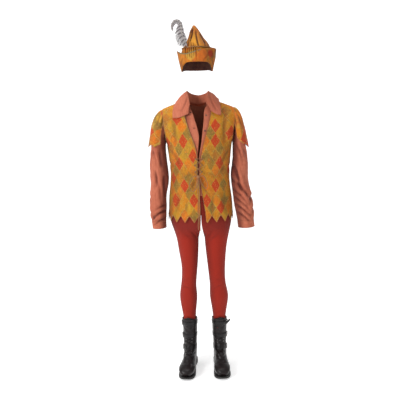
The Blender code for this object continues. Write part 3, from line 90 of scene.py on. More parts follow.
class Side(Enum):
    """Sides of the wearer, with the sign of x there."""

    RIGHT = -1
    LEFT = 1

    @property
    def word(self) -> str:
        """Name of the side as the nodes use it."""
        return self.name.lower()


class View(Enum):
    """Directions from which a crease is drawn: the axis across and the way the cloth faces."""

    FRONT = (0, 1, -1)
    BACK = (0, 1, 1)
    RIGHT = (1, 0, -1)
    LEFT = (1, 0, 1)


# Mesh tools

def rows_of(items: bpy.types.bpy_prop_collection, key: str) -> np.ndarray:
    """Read a vector property of many elements, one row for each."""
    flat = np.empty(len(items) * 3, dtype=np.float32)
    items.foreach_get(key, flat)
    return flat.reshape(-1, 3).astype(float)


def coordinates(mesh: bpy.types.Mesh) -> np.ndarray:
    """Read a mesh's vertex places, one row of x, y, z for each."""
    return rows_of(mesh.vertices, "co")


def set_coordinates(mesh: bpy.types.Mesh, places: np.ndarray) -> None:
    """Write a mesh's vertex places.

    Args:
        mesh: The mesh to change.
        places: One row of x, y, z for each vertex.
    """
    mesh.vertices.foreach_set("co", places.astype(np.float32).ravel())
    mesh.update()


def normals(mesh: bpy.types.Mesh) -> np.ndarray:
    """Read a mesh's vertex normals, one row of x, y, z for each."""
    return rows_of(mesh.vertex_normals, "vector")


def finished(shape: bmesh.types.BMesh, name: str) -> bpy.types.Mesh:
    """Turn a bmesh into a mesh and free it."""
    mesh = bpy.data.meshes.new(name)
    shape.to_mesh(mesh)
    shape.free()
    return mesh


def linked(name: str, data: bpy.types.ID) -> bpy.types.Object:
    """Add an object to the scene."""
    item = bpy.data.objects.new(name, data)
    bpy.context.scene.collection.objects.link(item)
    return item


def evaluated(item: bpy.types.Object, name: str) -> bpy.types.Mesh:
    """Read an object's mesh with its modifiers applied."""
    graph = bpy.context.evaluated_depsgraph_get()
    mesh = bpy.data.meshes.new_from_object(item.evaluated_get(graph))
    mesh.name = name
    return mesh


def surface(*meshes: bpy.types.Mesh) -> BVHTree:
    """Join meshes into one tree that rays can be cast at."""
    shape = bmesh.new()
    for mesh in meshes:
        shape.from_mesh(mesh)
    tree = BVHTree.FromBMesh(shape)
    shape.free()
    return tree


def front_hit(wall: BVHTree, start: Vector, ahead: Vector) -> tuple[Vector, Vector] | None:
    """Find where a ray meets a wall.

    Args:
        wall: The wall.
        start: Start of the ray.
        ahead: Its direction.

    Returns:
        The place and the normal that faces the front, or nothing where the ray misses.
    """
    place, facing, _, _ = wall.ray_cast(start, ahead)
    if place is None:
        return None
    return place, facing if facing.y < 0 else -facing


def node_shape(node: bpy.types.Object) -> bmesh.types.BMesh:
    """Copy a solid as a merged mesh of quads where it can be.

    Args:
        node: The solid's object in the frame.

    Returns:
        A new bmesh; the node itself isn't changed.
    """
    shape = bmesh.new()
    shape.from_mesh(node.data)
    bmesh.ops.remove_doubles(shape, verts=shape.verts, dist=MERGE)
    bmesh.ops.join_triangles(
        shape, faces=shape.faces, angle_face_threshold=math.radians(50),
        angle_shape_threshold=math.radians(70))
    return shape


def outer_wall(shape: bmesh.types.BMesh, sharp: float = 52.0) -> bmesh.types.BMesh:
    """Keep only the outer face of a cloth wall.

    Args:
        shape: A closed wall; it is changed in place.
        sharp: Angle in degrees at which the wall's rim begins.

    Returns:
        The same bmesh, now an open sheet.
    """
    limit = math.radians(sharp)
    for face in shape.faces:
        face.tag = False
    regions: list[list[bmesh.types.BMFace]] = []
    for start in shape.faces:
        if start.tag:
            continue
        start.tag = True
        region = [start]
        for face in region:
            for edge in face.edges:
                if len(edge.link_faces) != 2 or edge.calc_face_angle() > limit:
                    continue
                for other in edge.link_faces:
                    if not other.tag:
                        other.tag = True
                        region.append(other)
        regions.append(region)
    regions.sort(key=lambda faces: -sum(face.calc_area() for face in faces))
    kept = set(regions[0])
    rest = [face for face in shape.faces if face not in kept]
    bmesh.ops.delete(shape, geom=rest, context="FACES")
    return shape


def hold_corners(shape: bmesh.types.BMesh, bend: float = 32.0) -> None:
    """Keep the corners along an open sheet's edge crisp.

    Args:
        shape: The sheet.
        bend: Angle in degrees from which the edge has a corner.
    """
    layer = shape.verts.layers.float.new("crease_vert")
    limit = math.radians(bend)
    for vert in shape.verts:
        edges = [edge for edge in vert.link_edges if edge.is_boundary]
        if len(edges) == 2:
            first, second = (edge.other_vert(vert).co - vert.co for edge in edges)
            if math.pi - first.angle(second) > limit:
                vert[layer] = 1.0


def subdivided(shape: bmesh.types.BMesh, name: str, level: int) -> bpy.types.Mesh:
    """Subdivide smoothly so that the surface still passes through its own points.

    Args:
        shape: The coarse mesh, freed here.
        name: Name of the new mesh.
        level: Number of subdivisions.

    Returns:
        The fine mesh.
    """
    coarse = finished(shape, name + "_coarse")
    item = linked(name + "_coarse", coarse)
    modifier = item.modifiers.new("smooth", "SUBSURF")
    modifier.levels = level
    modifier.render_levels = level
    modifier.boundary_smooth = "PRESERVE_CORNERS"
    goal = coordinates(coarse)
    for _ in range(FITTING_ROUNDS):
        graph = bpy.context.evaluated_depsgraph_get()
        seen = item.evaluated_get(graph)
        limit = coordinates(seen.to_mesh())[:len(goal)]
        seen.to_mesh_clear()
        set_coordinates(coarse, coordinates(coarse) + goal - limit)
    fine = evaluated(item, name)
    bpy.data.objects.remove(item)
    bpy.data.meshes.remove(coarse)
    return fine


def press(mesh: bpy.types.Mesh, relief: np.ndarray) -> None:
    """Move each vertex along its normal.

    Args:
        mesh: The mesh to change.
        relief: Distance for each vertex, outwards.
    """
    set_coordinates(mesh, coordinates(mesh) + normals(mesh) * relief[:, None])


def write_painted_shade(mesh: bpy.types.Mesh, shade: np.ndarray) -> None:
    """Store painted shade for each vertex: how far the cloth's colour is darkened in its creases and on its
    shaded sides.

    Args:
        mesh: The mesh to dress.
        shade: Painted shade, from 0 on plain lit cloth to 1 in the deepest creases and on shaded sides.
    """
    layer = mesh.attributes.get("fold") or mesh.attributes.new("fold", "FLOAT", "POINT")
    layer.data.foreach_set("value", np.clip(shade, 0.0, 1.0).astype(np.float32))


def edge_loops(mesh: bpy.types.Mesh) -> tuple[list[list[int]], np.ndarray]:
    """Walk round an open sheet's edges.

    Args:
        mesh: The sheet.

    Returns:
        The vertex numbers of each loop in order, and for each vertex the way into the sheet.
    """
    shape = bmesh.new()
    shape.from_mesh(mesh)
    inward = np.zeros((len(shape.verts), 3))
    loops = []
    for vert in shape.verts:
        vert.tag = False
    for vert in shape.verts:
        loop = []
        while vert is not None and vert.is_boundary and not vert.tag:
            vert.tag = True
            loop.append(vert.index)
            inner = [edge.other_vert(vert).co - vert.co for edge in vert.link_edges if not edge.is_boundary]
            if inner:
                inward[vert.index] = sum(inner, Vector()).normalized()
            near = [edge.other_vert(vert) for edge in vert.link_edges if edge.is_boundary]
            vert = next((other for other in near if not other.tag), None)
        if loop:
            loops.append(loop)
    shape.free()
    return loops, inward


def edge_runs(loops: Sequence[list[int]], keep: np.ndarray) -> list[list[int]]:
    """Cut the loops down to the stretches that are wanted.

    Args:
        loops: Vertex numbers in order.
        keep: Whether each vertex is wanted.

    Returns:
        The stretches; a whole loop comes back closed.
    """
    runs: list[list[int]] = []
    for loop in loops:
        if keep[loop].all():
            runs.append(loop + loop[:1])
            continue
        start = next(place for place, vert in enumerate(loop) if not keep[vert])
        run: list[int] = []
        for vert in loop[start:] + loop[:start] + loop[start:start + 1]:
            if keep[vert]:
                run.append(vert)
            elif run:
                runs.append(run)
                run = []
    return [run for run in runs if len(run) > 3]


def round_curve(name: str, routes: Sequence[Sequence[Sequence[float]]], radius: float,
                fineness: int) -> bpy.types.Object:
    """Add round threads along routes, as one curve object.

    Args:
        name: Name of the new object.
        routes: The points of each thread.
        radius: The threads' radius.
        fineness: Bevel resolution of the round.

    Returns:
        The object.
    """
    data = bpy.data.curves.new(name, "CURVE")
    data.dimensions = "3D"
    data.bevel_depth = radius
    data.bevel_resolution = fineness
    data.use_fill_caps = True
    for route in routes:
        spline = data.splines.new("POLY")
        spline.points.add(len(route) - 1)
        for spot, place in zip(spline.points, route):
            spot.co = (*place, 1.0)
    return linked(name, data)


def tube_mesh(name: str, routes: Sequence[Sequence[Sequence[float]]], radius: float,
              fineness: int = 1) -> bpy.types.Mesh:
    """Make round threads along routes, as one mesh; the arguments are those of round_curve."""
    item = round_curve(name + "_route", routes, radius, fineness)
    mesh, data = evaluated(item, name), item.data
    bpy.data.objects.remove(item)
    bpy.data.curves.remove(data)
    return mesh


def stitches(name: str, places: np.ndarray, facing: np.ndarray, pitch: float = 0.0052,
             length: float = 0.0034, thick: float = 0.0007) -> bpy.types.Mesh:
    """Running stitches along a route on cloth, as one mesh.

    Args:
        name: Name of the new mesh.
        places: Points of the route.
        facing: The cloth's normals there.
        pitch: Length from one stitch to the next.
        length: Length of a stitch.
        thick: Thickness of the thread.

    Returns:
        The mesh.
    """
    chords = np.linalg.norm(np.diff(places, axis=0), axis=1)
    run = np.concatenate([[0.0], np.cumsum(chords)])
    shape = bmesh.new()
    for start in np.arange(pitch, run[-1] - pitch, pitch):
        ends = [Vector([np.interp(value, run, places[:, axis]) for axis in range(3)])
                for value in (start, start + length)]
        up = Vector([np.interp(start, run, facing[:, axis]) for axis in range(3)]).normalized()
        along = ends[1] - ends[0]
        if along.length < length * 0.5:
            continue
        aside = up.cross(along).normalized()
        turned = Matrix((along, aside * thick, up * thick)).transposed().to_4x4()
        middle = (ends[0] + ends[1]) / 2 + up * thick * 0.3
        bmesh.ops.create_cube(shape, size=1.0, matrix=Matrix.Translation(middle) @ turned)
    bmesh.ops.recalc_face_normals(shape, faces=shape.faces)
    return finished(shape, name)


def write_uv(mesh: bpy.types.Mesh, pattern: np.ndarray, turn: float = 0.0) -> None:
    """Store pattern places as the mesh's UV map.

    Args:
        mesh: The mesh to dress.
        pattern: Two pattern coordinates for each vertex.
        turn: Length of a full turn, where the first coordinate jumps back; 0 where it doesn't.
    """
    corners = np.empty(len(mesh.loops), dtype=np.int32)
    mesh.loops.foreach_get("vertex_index", corners)
    values = pattern[corners].copy()
    if turn:
        starts = np.empty(len(mesh.polygons), dtype=np.int32)
        totals = np.empty(len(mesh.polygons), dtype=np.int32)
        mesh.polygons.foreach_get("loop_start", starts)
        mesh.polygons.foreach_get("loop_total", totals)
        owner = np.repeat(np.arange(len(starts)), totals)
        highest = np.full(len(starts), -np.inf)
        np.maximum.at(highest, owner, values[:, 0])
        values[highest[owner] - values[:, 0] > turn / 2, 0] += turn
    layer = mesh.uv_layers.get("pattern") or mesh.uv_layers.new(name="pattern")
    layer.data.foreach_set("uv", values.astype(np.float32).ravel())


def sway(places: np.ndarray, size: float, seed: float) -> np.ndarray:
    """Soft uneven relief from a few crossing waves, the same at each run.

    Args:
        places: Vertex places.
        size: Length of the largest wave in metres.
        seed: Shifts the waves of one piece against another's.

    Returns:
        Values from about -1 to 1.
    """
    x, y, z = (places / size * FULL_TURN).T
    first = np.sin(x + 0.7 * np.sin(0.6 * z + seed) + seed)
    second = np.sin(0.8 * y - 0.45 * z + 1.3 * seed + 0.8 * np.sin(x * 0.7))
    third = np.sin(0.55 * z + 1.7 * x + 0.9 * y + 2.1 * seed)
    return (first + second + 0.7 * third) / 2.7


def arc_length(width: np.ndarray, depth: np.ndarray, angle: np.ndarray, steps: int = 24) -> np.ndarray:
    """Length along an ellipse from its front to an angle.

    Args:
        width: Half widths.
        depth: Half depths.
        angle: Angles in radians.
        steps: Number of short chords.

    Returns:
        The lengths.
    """
    total = np.zeros_like(angle)
    for step in range(steps):
        turn = angle * (step + 0.5) / steps
        total += np.hypot(width * np.cos(turn), depth * np.sin(turn))
    return total * angle / steps


@dataclass(frozen=True)
class Crease:
    """A soft trough between two ridges, drawn as seen from one side.

    Fields are the view, the two ends as (across, height), the trough's half width, its depth,
    and how far it bows to one side.
    """

    view: View
    start: tuple[float, float]
    end: tuple[float, float]
    width: float
    depth: float
    bow: float = 0.0

    def relief(self, places: np.ndarray, facing: np.ndarray) -> np.ndarray:
        """Relief that this crease gives to each vertex.

        Args:
            places: Vertex places in the frame.
            facing: Vertex normals.

        Returns:
            Distances along the normals.
        """
        across, look, sign = self.view.value
        spot = np.stack([places[:, across], places[:, 2] + SHOULDER_LINE], axis=1)
        start, end = np.array(self.start), np.array(self.end)
        along = end - start
        length = float(np.hypot(*along))
        along = along / length
        offset = spot - start
        run = offset @ along
        share = np.clip(run / length, 0.0, 1.0)
        aside = offset @ np.array([-along[1], along[0]]) - self.bow * 4 * share * (1 - share)
        beyond = run - share * length
        away = np.hypot(aside, beyond)
        taper = 0.35 + 0.65 * np.sin(math.pi * share) ** 0.7
        trough = np.exp(-(away / self.width) ** 2)
        ridges = np.exp(-((away - 1.9 * self.width) / self.width) ** 2)
        seen = np.clip(facing[:, look] * sign * 2.5, 0.0, 1.0)
        return seen * taper * self.depth * (0.55 * ridges - trough)


def creases_seen(view: View, *rows: tuple[float, ...]) -> tuple[Crease, ...]:
    """Make the creases drawn from one side.

    Args:
        view: The side.
        *rows: For each crease, in millimetres, its first end's place across and height, its last
            end's, its half width, its depth and its bow.

    Returns:
        The creases.
    """
    metres = [tuple(value / 1000 for value in row) for row in rows]
    return tuple(Crease(view, row[:2], row[2:4], *row[4:]) for row in metres)


# Node trees

class NodePad:
    """Adds and joins the nodes of one tree."""

    def __init__(self, tree: bpy.types.NodeTree) -> None:
        """Keep the tree and empty it."""
        self.tree = tree
        tree.nodes.clear()

    def add(self, kind: str, settings: dict[str, object] | None = None,
            **sockets: object) -> bpy.types.Node:
        """Add a node.

        Args:
            kind: The node's type.
            settings: Properties of the node itself.
            **sockets: What settle takes.

        Returns:
            The new node.
        """
        node = self.tree.nodes.new(kind)
        for key, value in (settings or {}).items():
            setattr(node, key, value)
        self.settle(node, **sockets)
        return node

    def settle(self, node: bpy.types.Node, **sockets: object) -> None:
        """Fill several inputs of a node.

        Args:
            node: The node.
            **sockets: Values, or the output sockets that feed them; an underscore in a name
                stands for a space.
        """
        for key, value in sockets.items():
            self.feed(node.inputs[key.replace("_", " ")], value)

    def feed(self, socket: bpy.types.NodeSocket, value: object) -> None:
        """Join a socket to another, or set its value."""
        if isinstance(value, bpy.types.NodeSocket):
            self.tree.links.new(value, socket)
        else:
            socket.default_value = value

    def math(self, operation: str, *values: object) -> bpy.types.NodeSocket:
        """Add a math node and give its result."""
        node = self.add("ShaderNodeMath", {"operation": operation})
        for socket, value in zip(node.inputs, values):
            self.feed(socket, value)
        return node.outputs[0]

    def vector(self, operation: str, first: object, second: object) -> bpy.types.NodeSocket:
        """Add a vector math node and give its result, which is a number for a distance."""
        node = self.add("ShaderNodeVectorMath", {"operation": operation})
        self.feed(node.inputs[0], first)
        self.feed(node.inputs[1], second)
        return node.outputs["Value" if operation == "DISTANCE" else "Vector"]

    def noise(self, vector: object, scale: object, detail: float,
              roughness: float = 0.5) -> bpy.types.NodeSocket:
        """Add cloudy noise and give its strength."""
        node = self.add("ShaderNodeTexNoise", Vector=vector, Scale=scale, Detail=detail, Roughness=roughness)
        return node.outputs[0]

    def pattern(self) -> bpy.types.NodeSocket:
        """Give the piece's own pattern places."""
        return self.add("ShaderNodeUVMap", {"uv_map": "pattern"}).outputs[0]

    def place(self) -> bpy.types.NodeSocket:
        """Give the place in the frame."""
        return self.add("ShaderNodeTexCoord").outputs["Object"]

    def effect(self, group: bpy.types.NodeTree, vector: object, **sockets: float) -> bpy.types.Node:
        """Place a shared effect.

        Args:
            group: The effect.
            vector: Socket that gives the place.
            **sockets: The effect's own values.

        Returns:
            The group's node.
        """
        node = self.add("ShaderNodeGroup", {"node_tree": group})
        self.settle(node, Vector=vector, **sockets)
        return node

    def bump(self, shader: bpy.types.Node, height: object, depth: float, strength: float) -> None:
        """Feed a height to a shader's normal."""
        node = self.add("ShaderNodeBump", Height=height, Strength=strength, Distance=depth)
        self.feed(shader.inputs["Normal"], node.outputs[0])

    def with_painted_shade(self, colour: object, dark: Colour, most: float) -> bpy.types.NodeSocket:
        """Darken a colour with painted shade, as far as the cloth's painted shade attribute says, in creases
        and on shaded sides.
        """
        fold = self.add("ShaderNodeAttribute", {"attribute_name": "fold"})
        return self.mix(self.math("MULTIPLY", fold.outputs["Fac"], most), colour, dark)

    def mix(self, factor: object, first: object, second: object) -> bpy.types.NodeSocket:
        """Add a colour mix; the factor is the second colour's share."""
        node = self.add("ShaderNodeMix", {"data_type": "RGBA"})
        for index, value in ((0, factor), (6, first), (7, second)):
            self.feed(node.inputs[index], value)
        return node.outputs[2]

    def ramp(self, factor: object, stops: Sequence[tuple[float, Colour]],
             steps: bool = False) -> bpy.types.NodeSocket:
        """Add a colour ramp.

        Args:
            factor: Number or socket that reads the ramp.
            stops: Places and colours.
            steps: Whether the colours change in steps.

        Returns:
            The colour's socket.
        """
        node = self.tree.nodes.new("ShaderNodeValToRGB")
        ramp = node.color_ramp
        ramp.interpolation = "CONSTANT" if steps else "LINEAR"
        while len(ramp.elements) < len(stops):
            ramp.elements.new(1.0)
        for element, (place, colour) in zip(ramp.elements, stops):
            element.position = place
            element.color = colour
        self.feed(node.inputs[0], factor)
        return node.outputs[0]

    def span(self, value: object, low: float, high: float, first: float = 0.0,
             last: float = 1.0) -> bpy.types.NodeSocket:
        """Add a smooth map of one range onto another, held at its ends."""
        node = self.tree.nodes.new("ShaderNodeMapRange")
        node.interpolation_type = "SMOOTHSTEP"
        for socket, item in zip(node.inputs, (value, low, high, first, last)):
            self.feed(socket, item)
        return node.outputs[0]


def new_group(name: str, inputs: Sequence[tuple[str, str, float]],
              outputs: Sequence[tuple[str, str]]) -> tuple[NodePad, bpy.types.Node, bpy.types.Node]:
    """Start a shader node group with named sockets.

    Args:
        name: The group's name.
        inputs: Name, kind and start value of each input.
        outputs: Name and kind of each output.

    Returns:
        Its pad, its input node and its output node.
    """
    tree = bpy.data.node_groups.new(name, "ShaderNodeTree")
    pad = NodePad(tree)
    for label, kind, value in inputs:
        socket = tree.interface.new_socket(label, in_out="INPUT", socket_type="NodeSocket" + kind)
        if kind == "Float":
            socket.default_value = value
    for label, kind in outputs:
        tree.interface.new_socket(label, in_out="OUTPUT", socket_type="NodeSocket" + kind)
    return pad, pad.add("NodeGroupInput"), pad.add("NodeGroupOutput")


def weave_group() -> bpy.types.NodeTree:
    """Plain weave: crossing threads with slubs.

    Returns:
        A group that gives a height and a shade for a pattern place in metres.
    """
    pad, given, wanted = new_group(
        "plain_weave", (("Vector", "Vector", 0), ("Thread", "Float", 0.0006), ("Slub", "Float", 0.4)),
        (("Height", "Float"), ("Shade", "Float")))
    parts = pad.add("ShaderNodeSeparateXYZ", Vector=given.outputs["Vector"])
    waves = []
    for axis in (0, 1):
        turns = pad.math("DIVIDE", parts.outputs[axis], given.outputs["Thread"])
        waves.append(pad.math("SINE", pad.math("MULTIPLY", turns, math.pi)))
    crossing = pad.math("MULTIPLY", waves[0], waves[1])
    stretched = pad.add("ShaderNodeMapping", Vector=given.outputs["Vector"], Scale=(900.0, 90.0, 1.0))
    slub = pad.noise(stretched.outputs[0], 1.0, 2.0)
    uneven = pad.math("MULTIPLY", pad.math("SUBTRACT", slub, 0.5), given.outputs["Slub"])
    height = pad.math("ADD", pad.math("MULTIPLY", crossing, 0.5), uneven)
    pad.feed(wanted.inputs["Height"], height)
    pad.feed(wanted.inputs["Shade"], pad.math("ADD", 0.5, pad.math("MULTIPLY", height, 0.5)))
    return pad.tree


def rib_group() -> bpy.types.NodeTree:
    """Knit: fine upright ribs broken into stitches.

    Returns:
        A group that gives a height and a shade for a pattern place in metres.
    """
    pad, given, wanted = new_group(
        "fine_knit", (("Vector", "Vector", 0), ("Rib", "Float", 0.0018)),
        (("Height", "Float"), ("Shade", "Float")))
    parts = pad.add("ShaderNodeSeparateXYZ", Vector=given.outputs["Vector"])
    across = pad.math("DIVIDE", parts.outputs[0], given.outputs["Rib"])
    rib = pad.math("ABSOLUTE", pad.math("SINE", pad.math("MULTIPLY", across, math.pi)))
    up = pad.math("DIVIDE", parts.outputs[1], pad.math("MULTIPLY", given.outputs["Rib"], 0.8))
    slanted = pad.math("ADD", up, pad.math("MULTIPLY", rib, 0.5))
    stitch = pad.math("SINE", pad.math("MULTIPLY", slanted, FULL_TURN))
    height = pad.math("ADD", rib, pad.math("MULTIPLY", stitch, 0.25))
    pad.feed(wanted.inputs["Height"], height)
    pad.feed(wanted.inputs["Shade"], pad.span(height, 0.0, 1.1))
    return pad.tree


def mottle_group() -> bpy.types.NodeTree:
    """Cloudy wear: large soft patches with small specks.

    Returns:
        A group that gives a mask for a place.
    """
    pad, given, wanted = new_group(
        "mottle", (("Vector", "Vector", 0), ("Scale", "Float", 10.0)), (("Mask", "Float"),))
    vector, scale = given.outputs["Vector"], given.outputs["Scale"]
    large = pad.noise(vector, scale, 5.0, 0.6)
    fine = pad.noise(vector, pad.math("MULTIPLY", scale, 9.0), 3.0)
    both = pad.math("ADD", pad.math("MULTIPLY", large, 0.75), pad.math("MULTIPLY", fine, 0.25))
    pad.feed(wanted.inputs["Mask"], pad.span(both, 0.36, 0.64))
    return pad.tree


def leather_group() -> bpy.types.NodeTree:
    """Leather grain: pebbles, pores and broad scuffs.

    Returns:
        A group that gives a height and a scuff mask for a place.
    """
    pad, given, wanted = new_group(
        "leather_grain", (("Vector", "Vector", 0), ("Scale", "Float", 500.0)),
        (("Height", "Float"), ("Scuff", "Float")))
    vector, scale = given.outputs["Vector"], given.outputs["Scale"]
    cells = pad.add("ShaderNodeTexVoronoi", {"feature": "SMOOTH_F1"}, Vector=vector, Scale=scale)
    grain = pad.noise(vector, pad.math("MULTIPLY", scale, 0.2), 5.0)
    height = pad.math("ADD", pad.math("MULTIPLY", cells.outputs[0], 0.6), grain)
    pad.feed(wanted.inputs["Height"], height)
    pad.feed(wanted.inputs["Scuff"], pad.span(pad.noise(vector, 22.0, 6.0, 0.7), 0.52, 0.72))
    return pad.tree


# Harlequin cloth: charts of the red and the olive diamonds on the two fronts.
# Each pair is (half pitches from the first tip, half heights above the hem's widest line).
CHART_RED = {
    Side.RIGHT: ((0, 2), (4, 2), (2, 4), (5, 5), (3, 7), (0, 8), (2, 10), (6, 10), (3, 13)),
    Side.LEFT: ((3, 1), (0, 2), (2, 4), (6, 6), (3, 7), (2, 10), (5, 11), (2, 12)),
}
CHART_OLIVE = {
    Side.RIGHT: ((1, 3), (1, 5), (4, 4), (0, 0), (3, 9), (4, 6), (1, 11)),
    Side.LEFT: ((1, 1), (4, 2), (4, 4), (1, 7), (0, 8), (3, 9), (1, 11)),
}
SHIFT_RIGHT, SHIFT_LEFT, SHIFT_BACK, SHIFT_CAP, SHIFT_HAT = 0.0, 20.0, 40.0, 60.0, 100.0
FIRST_LOOSE_SHIFT = 30.0
WANDER = 0.13

GOLD: Colour = (0.540, 0.200, 0.014, 1)
YELLOW: Colour = (0.520, 0.270, 0.022, 1)
ORANGE: Colour = (0.690, 0.150, 0.011, 1)
AMBER: Colour = (0.590, 0.165, 0.013, 1)
TAN: Colour = (0.330, 0.105, 0.024, 1)
OLIVE: Colour = (0.190, 0.125, 0.030, 1)
RED: Colour = (0.500, 0.034, 0.011, 1)
LINE: Colour = (0.640, 0.420, 0.110, 1)
# Maroon, umber and pitch below are the colours of painted shade in creases and on shaded sides; umber is also
# the colour of soil and of a dye.
SHADE_MAROON: Colour = (0.075, 0.014, 0.012, 1)
UMBER: Colour = (0.150, 0.055, 0.016, 1)
SHADE_PITCH: Colour = (0.050, 0.010, 0.005, 1)

# Bleach, drops and specks: the noise's scale, detail and roughness, where they start and are
# full, their greatest share, and their colour.
STAINS = (
    (8.0, 5.0, 0.75, 0.52, 0.68, 0.55, LINE),
    (5.1, 6.0, 0.75, 0.54, 0.68, 0.62, TAN),
    (17.0, 4.0, 0.80, 0.58, 0.72, 0.55, OLIVE),
)


def harlequin_group() -> bpy.types.NodeTree:
    """Hand-dyed diamonds in rows.

    Returns:
        A group that gives a colour and an edge mask; one diamond is one unit wide and high.
    """
    pad, given, wanted = new_group(
        "harlequin", (("Vector", "Vector", 0),), (("Colour", "Color"), ("Edge", "Float")))
    vector = given.outputs["Vector"]
    wander = pad.add("ShaderNodeTexNoise", Vector=vector, Scale=3.0, Detail=3.0)
    shift = pad.vector("SUBTRACT", wander.outputs["Color"], (0.5, 0.5, 0.5))
    moved = pad.vector("ADD", vector, pad.vector("MULTIPLY", shift, (WANDER, WANDER, WANDER)))
    parts = pad.add("ShaderNodeSeparateXYZ", Vector=moved)
    across, up = parts.outputs[0], parts.outputs[1]
    slants = (pad.math("ADD", across, up), pad.math("SUBTRACT", across, up))
    cells = [pad.math("FLOOR", pad.math("ADD", slant, 0.5)) for slant in slants]
    aways = [pad.math("ABSOLUTE", pad.math("SUBTRACT", slant, cell)) for slant, cell in zip(slants, cells)]
    edge = pad.math("MAXIMUM", *aways)
    cell = pad.add("ShaderNodeCombineXYZ", X=cells[0], Y=cells[1])
    dice = pad.add("ShaderNodeTexWhiteNoise", {"noise_dimensions": "3D"}, Vector=cell.outputs[0])
    plain = pad.ramp(dice.outputs["Value"], (
        (0.0, GOLD), (0.20, ORANGE), (0.38, AMBER), (0.52, YELLOW), (0.64, ORANGE), (0.80, TAN),
        (0.88, GOLD)), steps=True)
    loose = pad.math("GREATER_THAN", across, FIRST_LOOSE_SHIFT)
    second = pad.add("ShaderNodeSeparateColor", Color=dice.outputs["Color"])
    masks = {
        "red": pad.math("MULTIPLY", loose, pad.math("GREATER_THAN", second.outputs[1], 0.86)),
        "olive": pad.math("MULTIPLY", loose, pad.math("LESS_THAN", second.outputs[1], 0.13)),
    }
    for name, chart in (("red", CHART_RED), ("olive", CHART_OLIVE)):
        for side, base in ((Side.RIGHT, SHIFT_RIGHT), (Side.LEFT, SHIFT_LEFT)):
            for column, row in chart[side]:
                centre = (base + (column + row) / 2, base + (column - row) / 2, 0.0)
                here = pad.math("LESS_THAN", pad.vector("DISTANCE", cell.outputs[0], centre), 0.2)
                masks[name] = pad.math("MAXIMUM", masks[name], here)
    dyed = pad.mix(masks["olive"], plain, OLIVE)
    dyed = pad.mix(masks["red"], dyed, RED)
    cloud = pad.noise(vector, 1.3, 6.0, 0.65)
    wash = pad.ramp(cloud, (
        (0.30, ORANGE), (0.42, GOLD), (0.49, YELLOW), (0.56, OLIVE), (0.62, AMBER), (0.74, ORANGE)))
    strength = pad.span(edge, 0.28, 0.50, 0.66, 0.30)
    patchy = pad.noise(vector, 2.4, 5.0, 0.7)
    kept = pad.math("MAXIMUM", strength, pad.math("MULTIPLY", masks["red"], 0.92))
    sage = pad.math("MULTIPLY", masks["olive"], pad.span(patchy, 0.40, 0.58, 0.10, 0.80))
    colour = pad.mix(pad.math("MAXIMUM", kept, sage), wash, dyed)
    for scale, detail, roughness, low, high, most, stain in STAINS:
        spots = pad.span(pad.noise(vector, scale, detail, roughness), low, high, 0.0, most)
        colour = pad.mix(spots, colour, stain)
    rim = pad.span(edge, 0.455, 0.49)
    faint = pad.math("MULTIPLY", rim, pad.span(cloud, 0.40, 0.62, 0.02, 0.45))
    pad.feed(wanted.inputs["Colour"], pad.mix(faint, colour, LINE))
    pad.feed(wanted.inputs["Edge"], rim)
    return pad.tree


@dataclass(frozen=True)
class Patch:
    """A dyed patch: its centre in the frame, its radius, its colour and its strength."""

    centre: Place
    radius: float
    colour: Colour
    share: float


HAT_PATCHES = (
    Patch((-0.012, -0.075, 0.365), 0.050, (0.620, 0.270, 0.025, 1), 0.85),
    Patch((0.045, -0.060, 0.370), 0.055, (0.420, 0.150, 0.030, 1), 0.80),
    Patch((-0.034, -0.030, 0.420), 0.020, (0.120, 0.026, 0.010, 1), 0.85),
    Patch((-0.066, -0.070, 0.335), 0.024, (0.180, 0.030, 0.014, 1), 0.75),
    Patch((0.078, -0.082, 0.290), 0.030, (0.420, 0.030, 0.012, 1), 0.90),
    Patch((0.030, -0.112, 0.280), 0.040, (0.560, 0.140, 0.020, 1), 0.80),
    Patch((-0.040, -0.108, 0.285), 0.036, (0.560, 0.330, 0.050, 1), 0.75),
    Patch((-0.090, -0.060, 0.280), 0.045, (0.680, 0.240, 0.030, 1), 0.80),
    Patch((0.100, -0.020, 0.300), 0.034, (0.180, 0.120, 0.035, 1), 0.80),
    Patch((0.020, 0.100, 0.300), 0.045, (0.420, 0.030, 0.012, 1), 0.70),
    Patch((-0.060, 0.075, 0.350), 0.050, (0.620, 0.270, 0.025, 1), 0.80),
)


CAP_PATCHES = {
    Side.RIGHT: (
        Patch((-0.215, -0.060, -0.040), 0.035, (0.640, 0.330, 0.040, 1), 0.75),
        Patch((-0.196, -0.085, -0.075), 0.022, (0.500, 0.050, 0.018, 1), 0.90),
        Patch((-0.200, -0.050, -0.010), 0.026, (0.620, 0.190, 0.030, 1), 0.80),
        Patch((-0.245, -0.030, -0.090), 0.030, (0.560, 0.330, 0.060, 1), 0.75),
    ),
    Side.LEFT: (
        Patch((0.200, -0.070, -0.030), 0.045, (0.560, 0.130, 0.024, 1), 0.80),
        Patch((0.235, -0.050, -0.080), 0.045, (0.430, 0.110, 0.024, 1), 0.80),
        Patch((0.215, -0.080, -0.095), 0.022, (0.520, 0.250, 0.035, 1), 0.70),
    ),
}


class Groups:
    """The shared shader effects, each built once."""

    def __init__(self) -> None:
        """Build every group."""
        self.weave = weave_group()
        self.rib = rib_group()
        self.mottle = mottle_group()
        self.leather = leather_group()
        self.harlequin = harlequin_group()


@dataclass(frozen=True)
class Finish:
    """A finish; each kind paints its own material."""

    name: str

    def paint(self, pad: NodePad, shader: bpy.types.Node, groups: Groups) -> None:
        """Feed the shader.

        Args:
            pad: The material's pad.
            shader: Its Principled shader.
            groups: The shared effects.
        """
        raise NotImplementedError


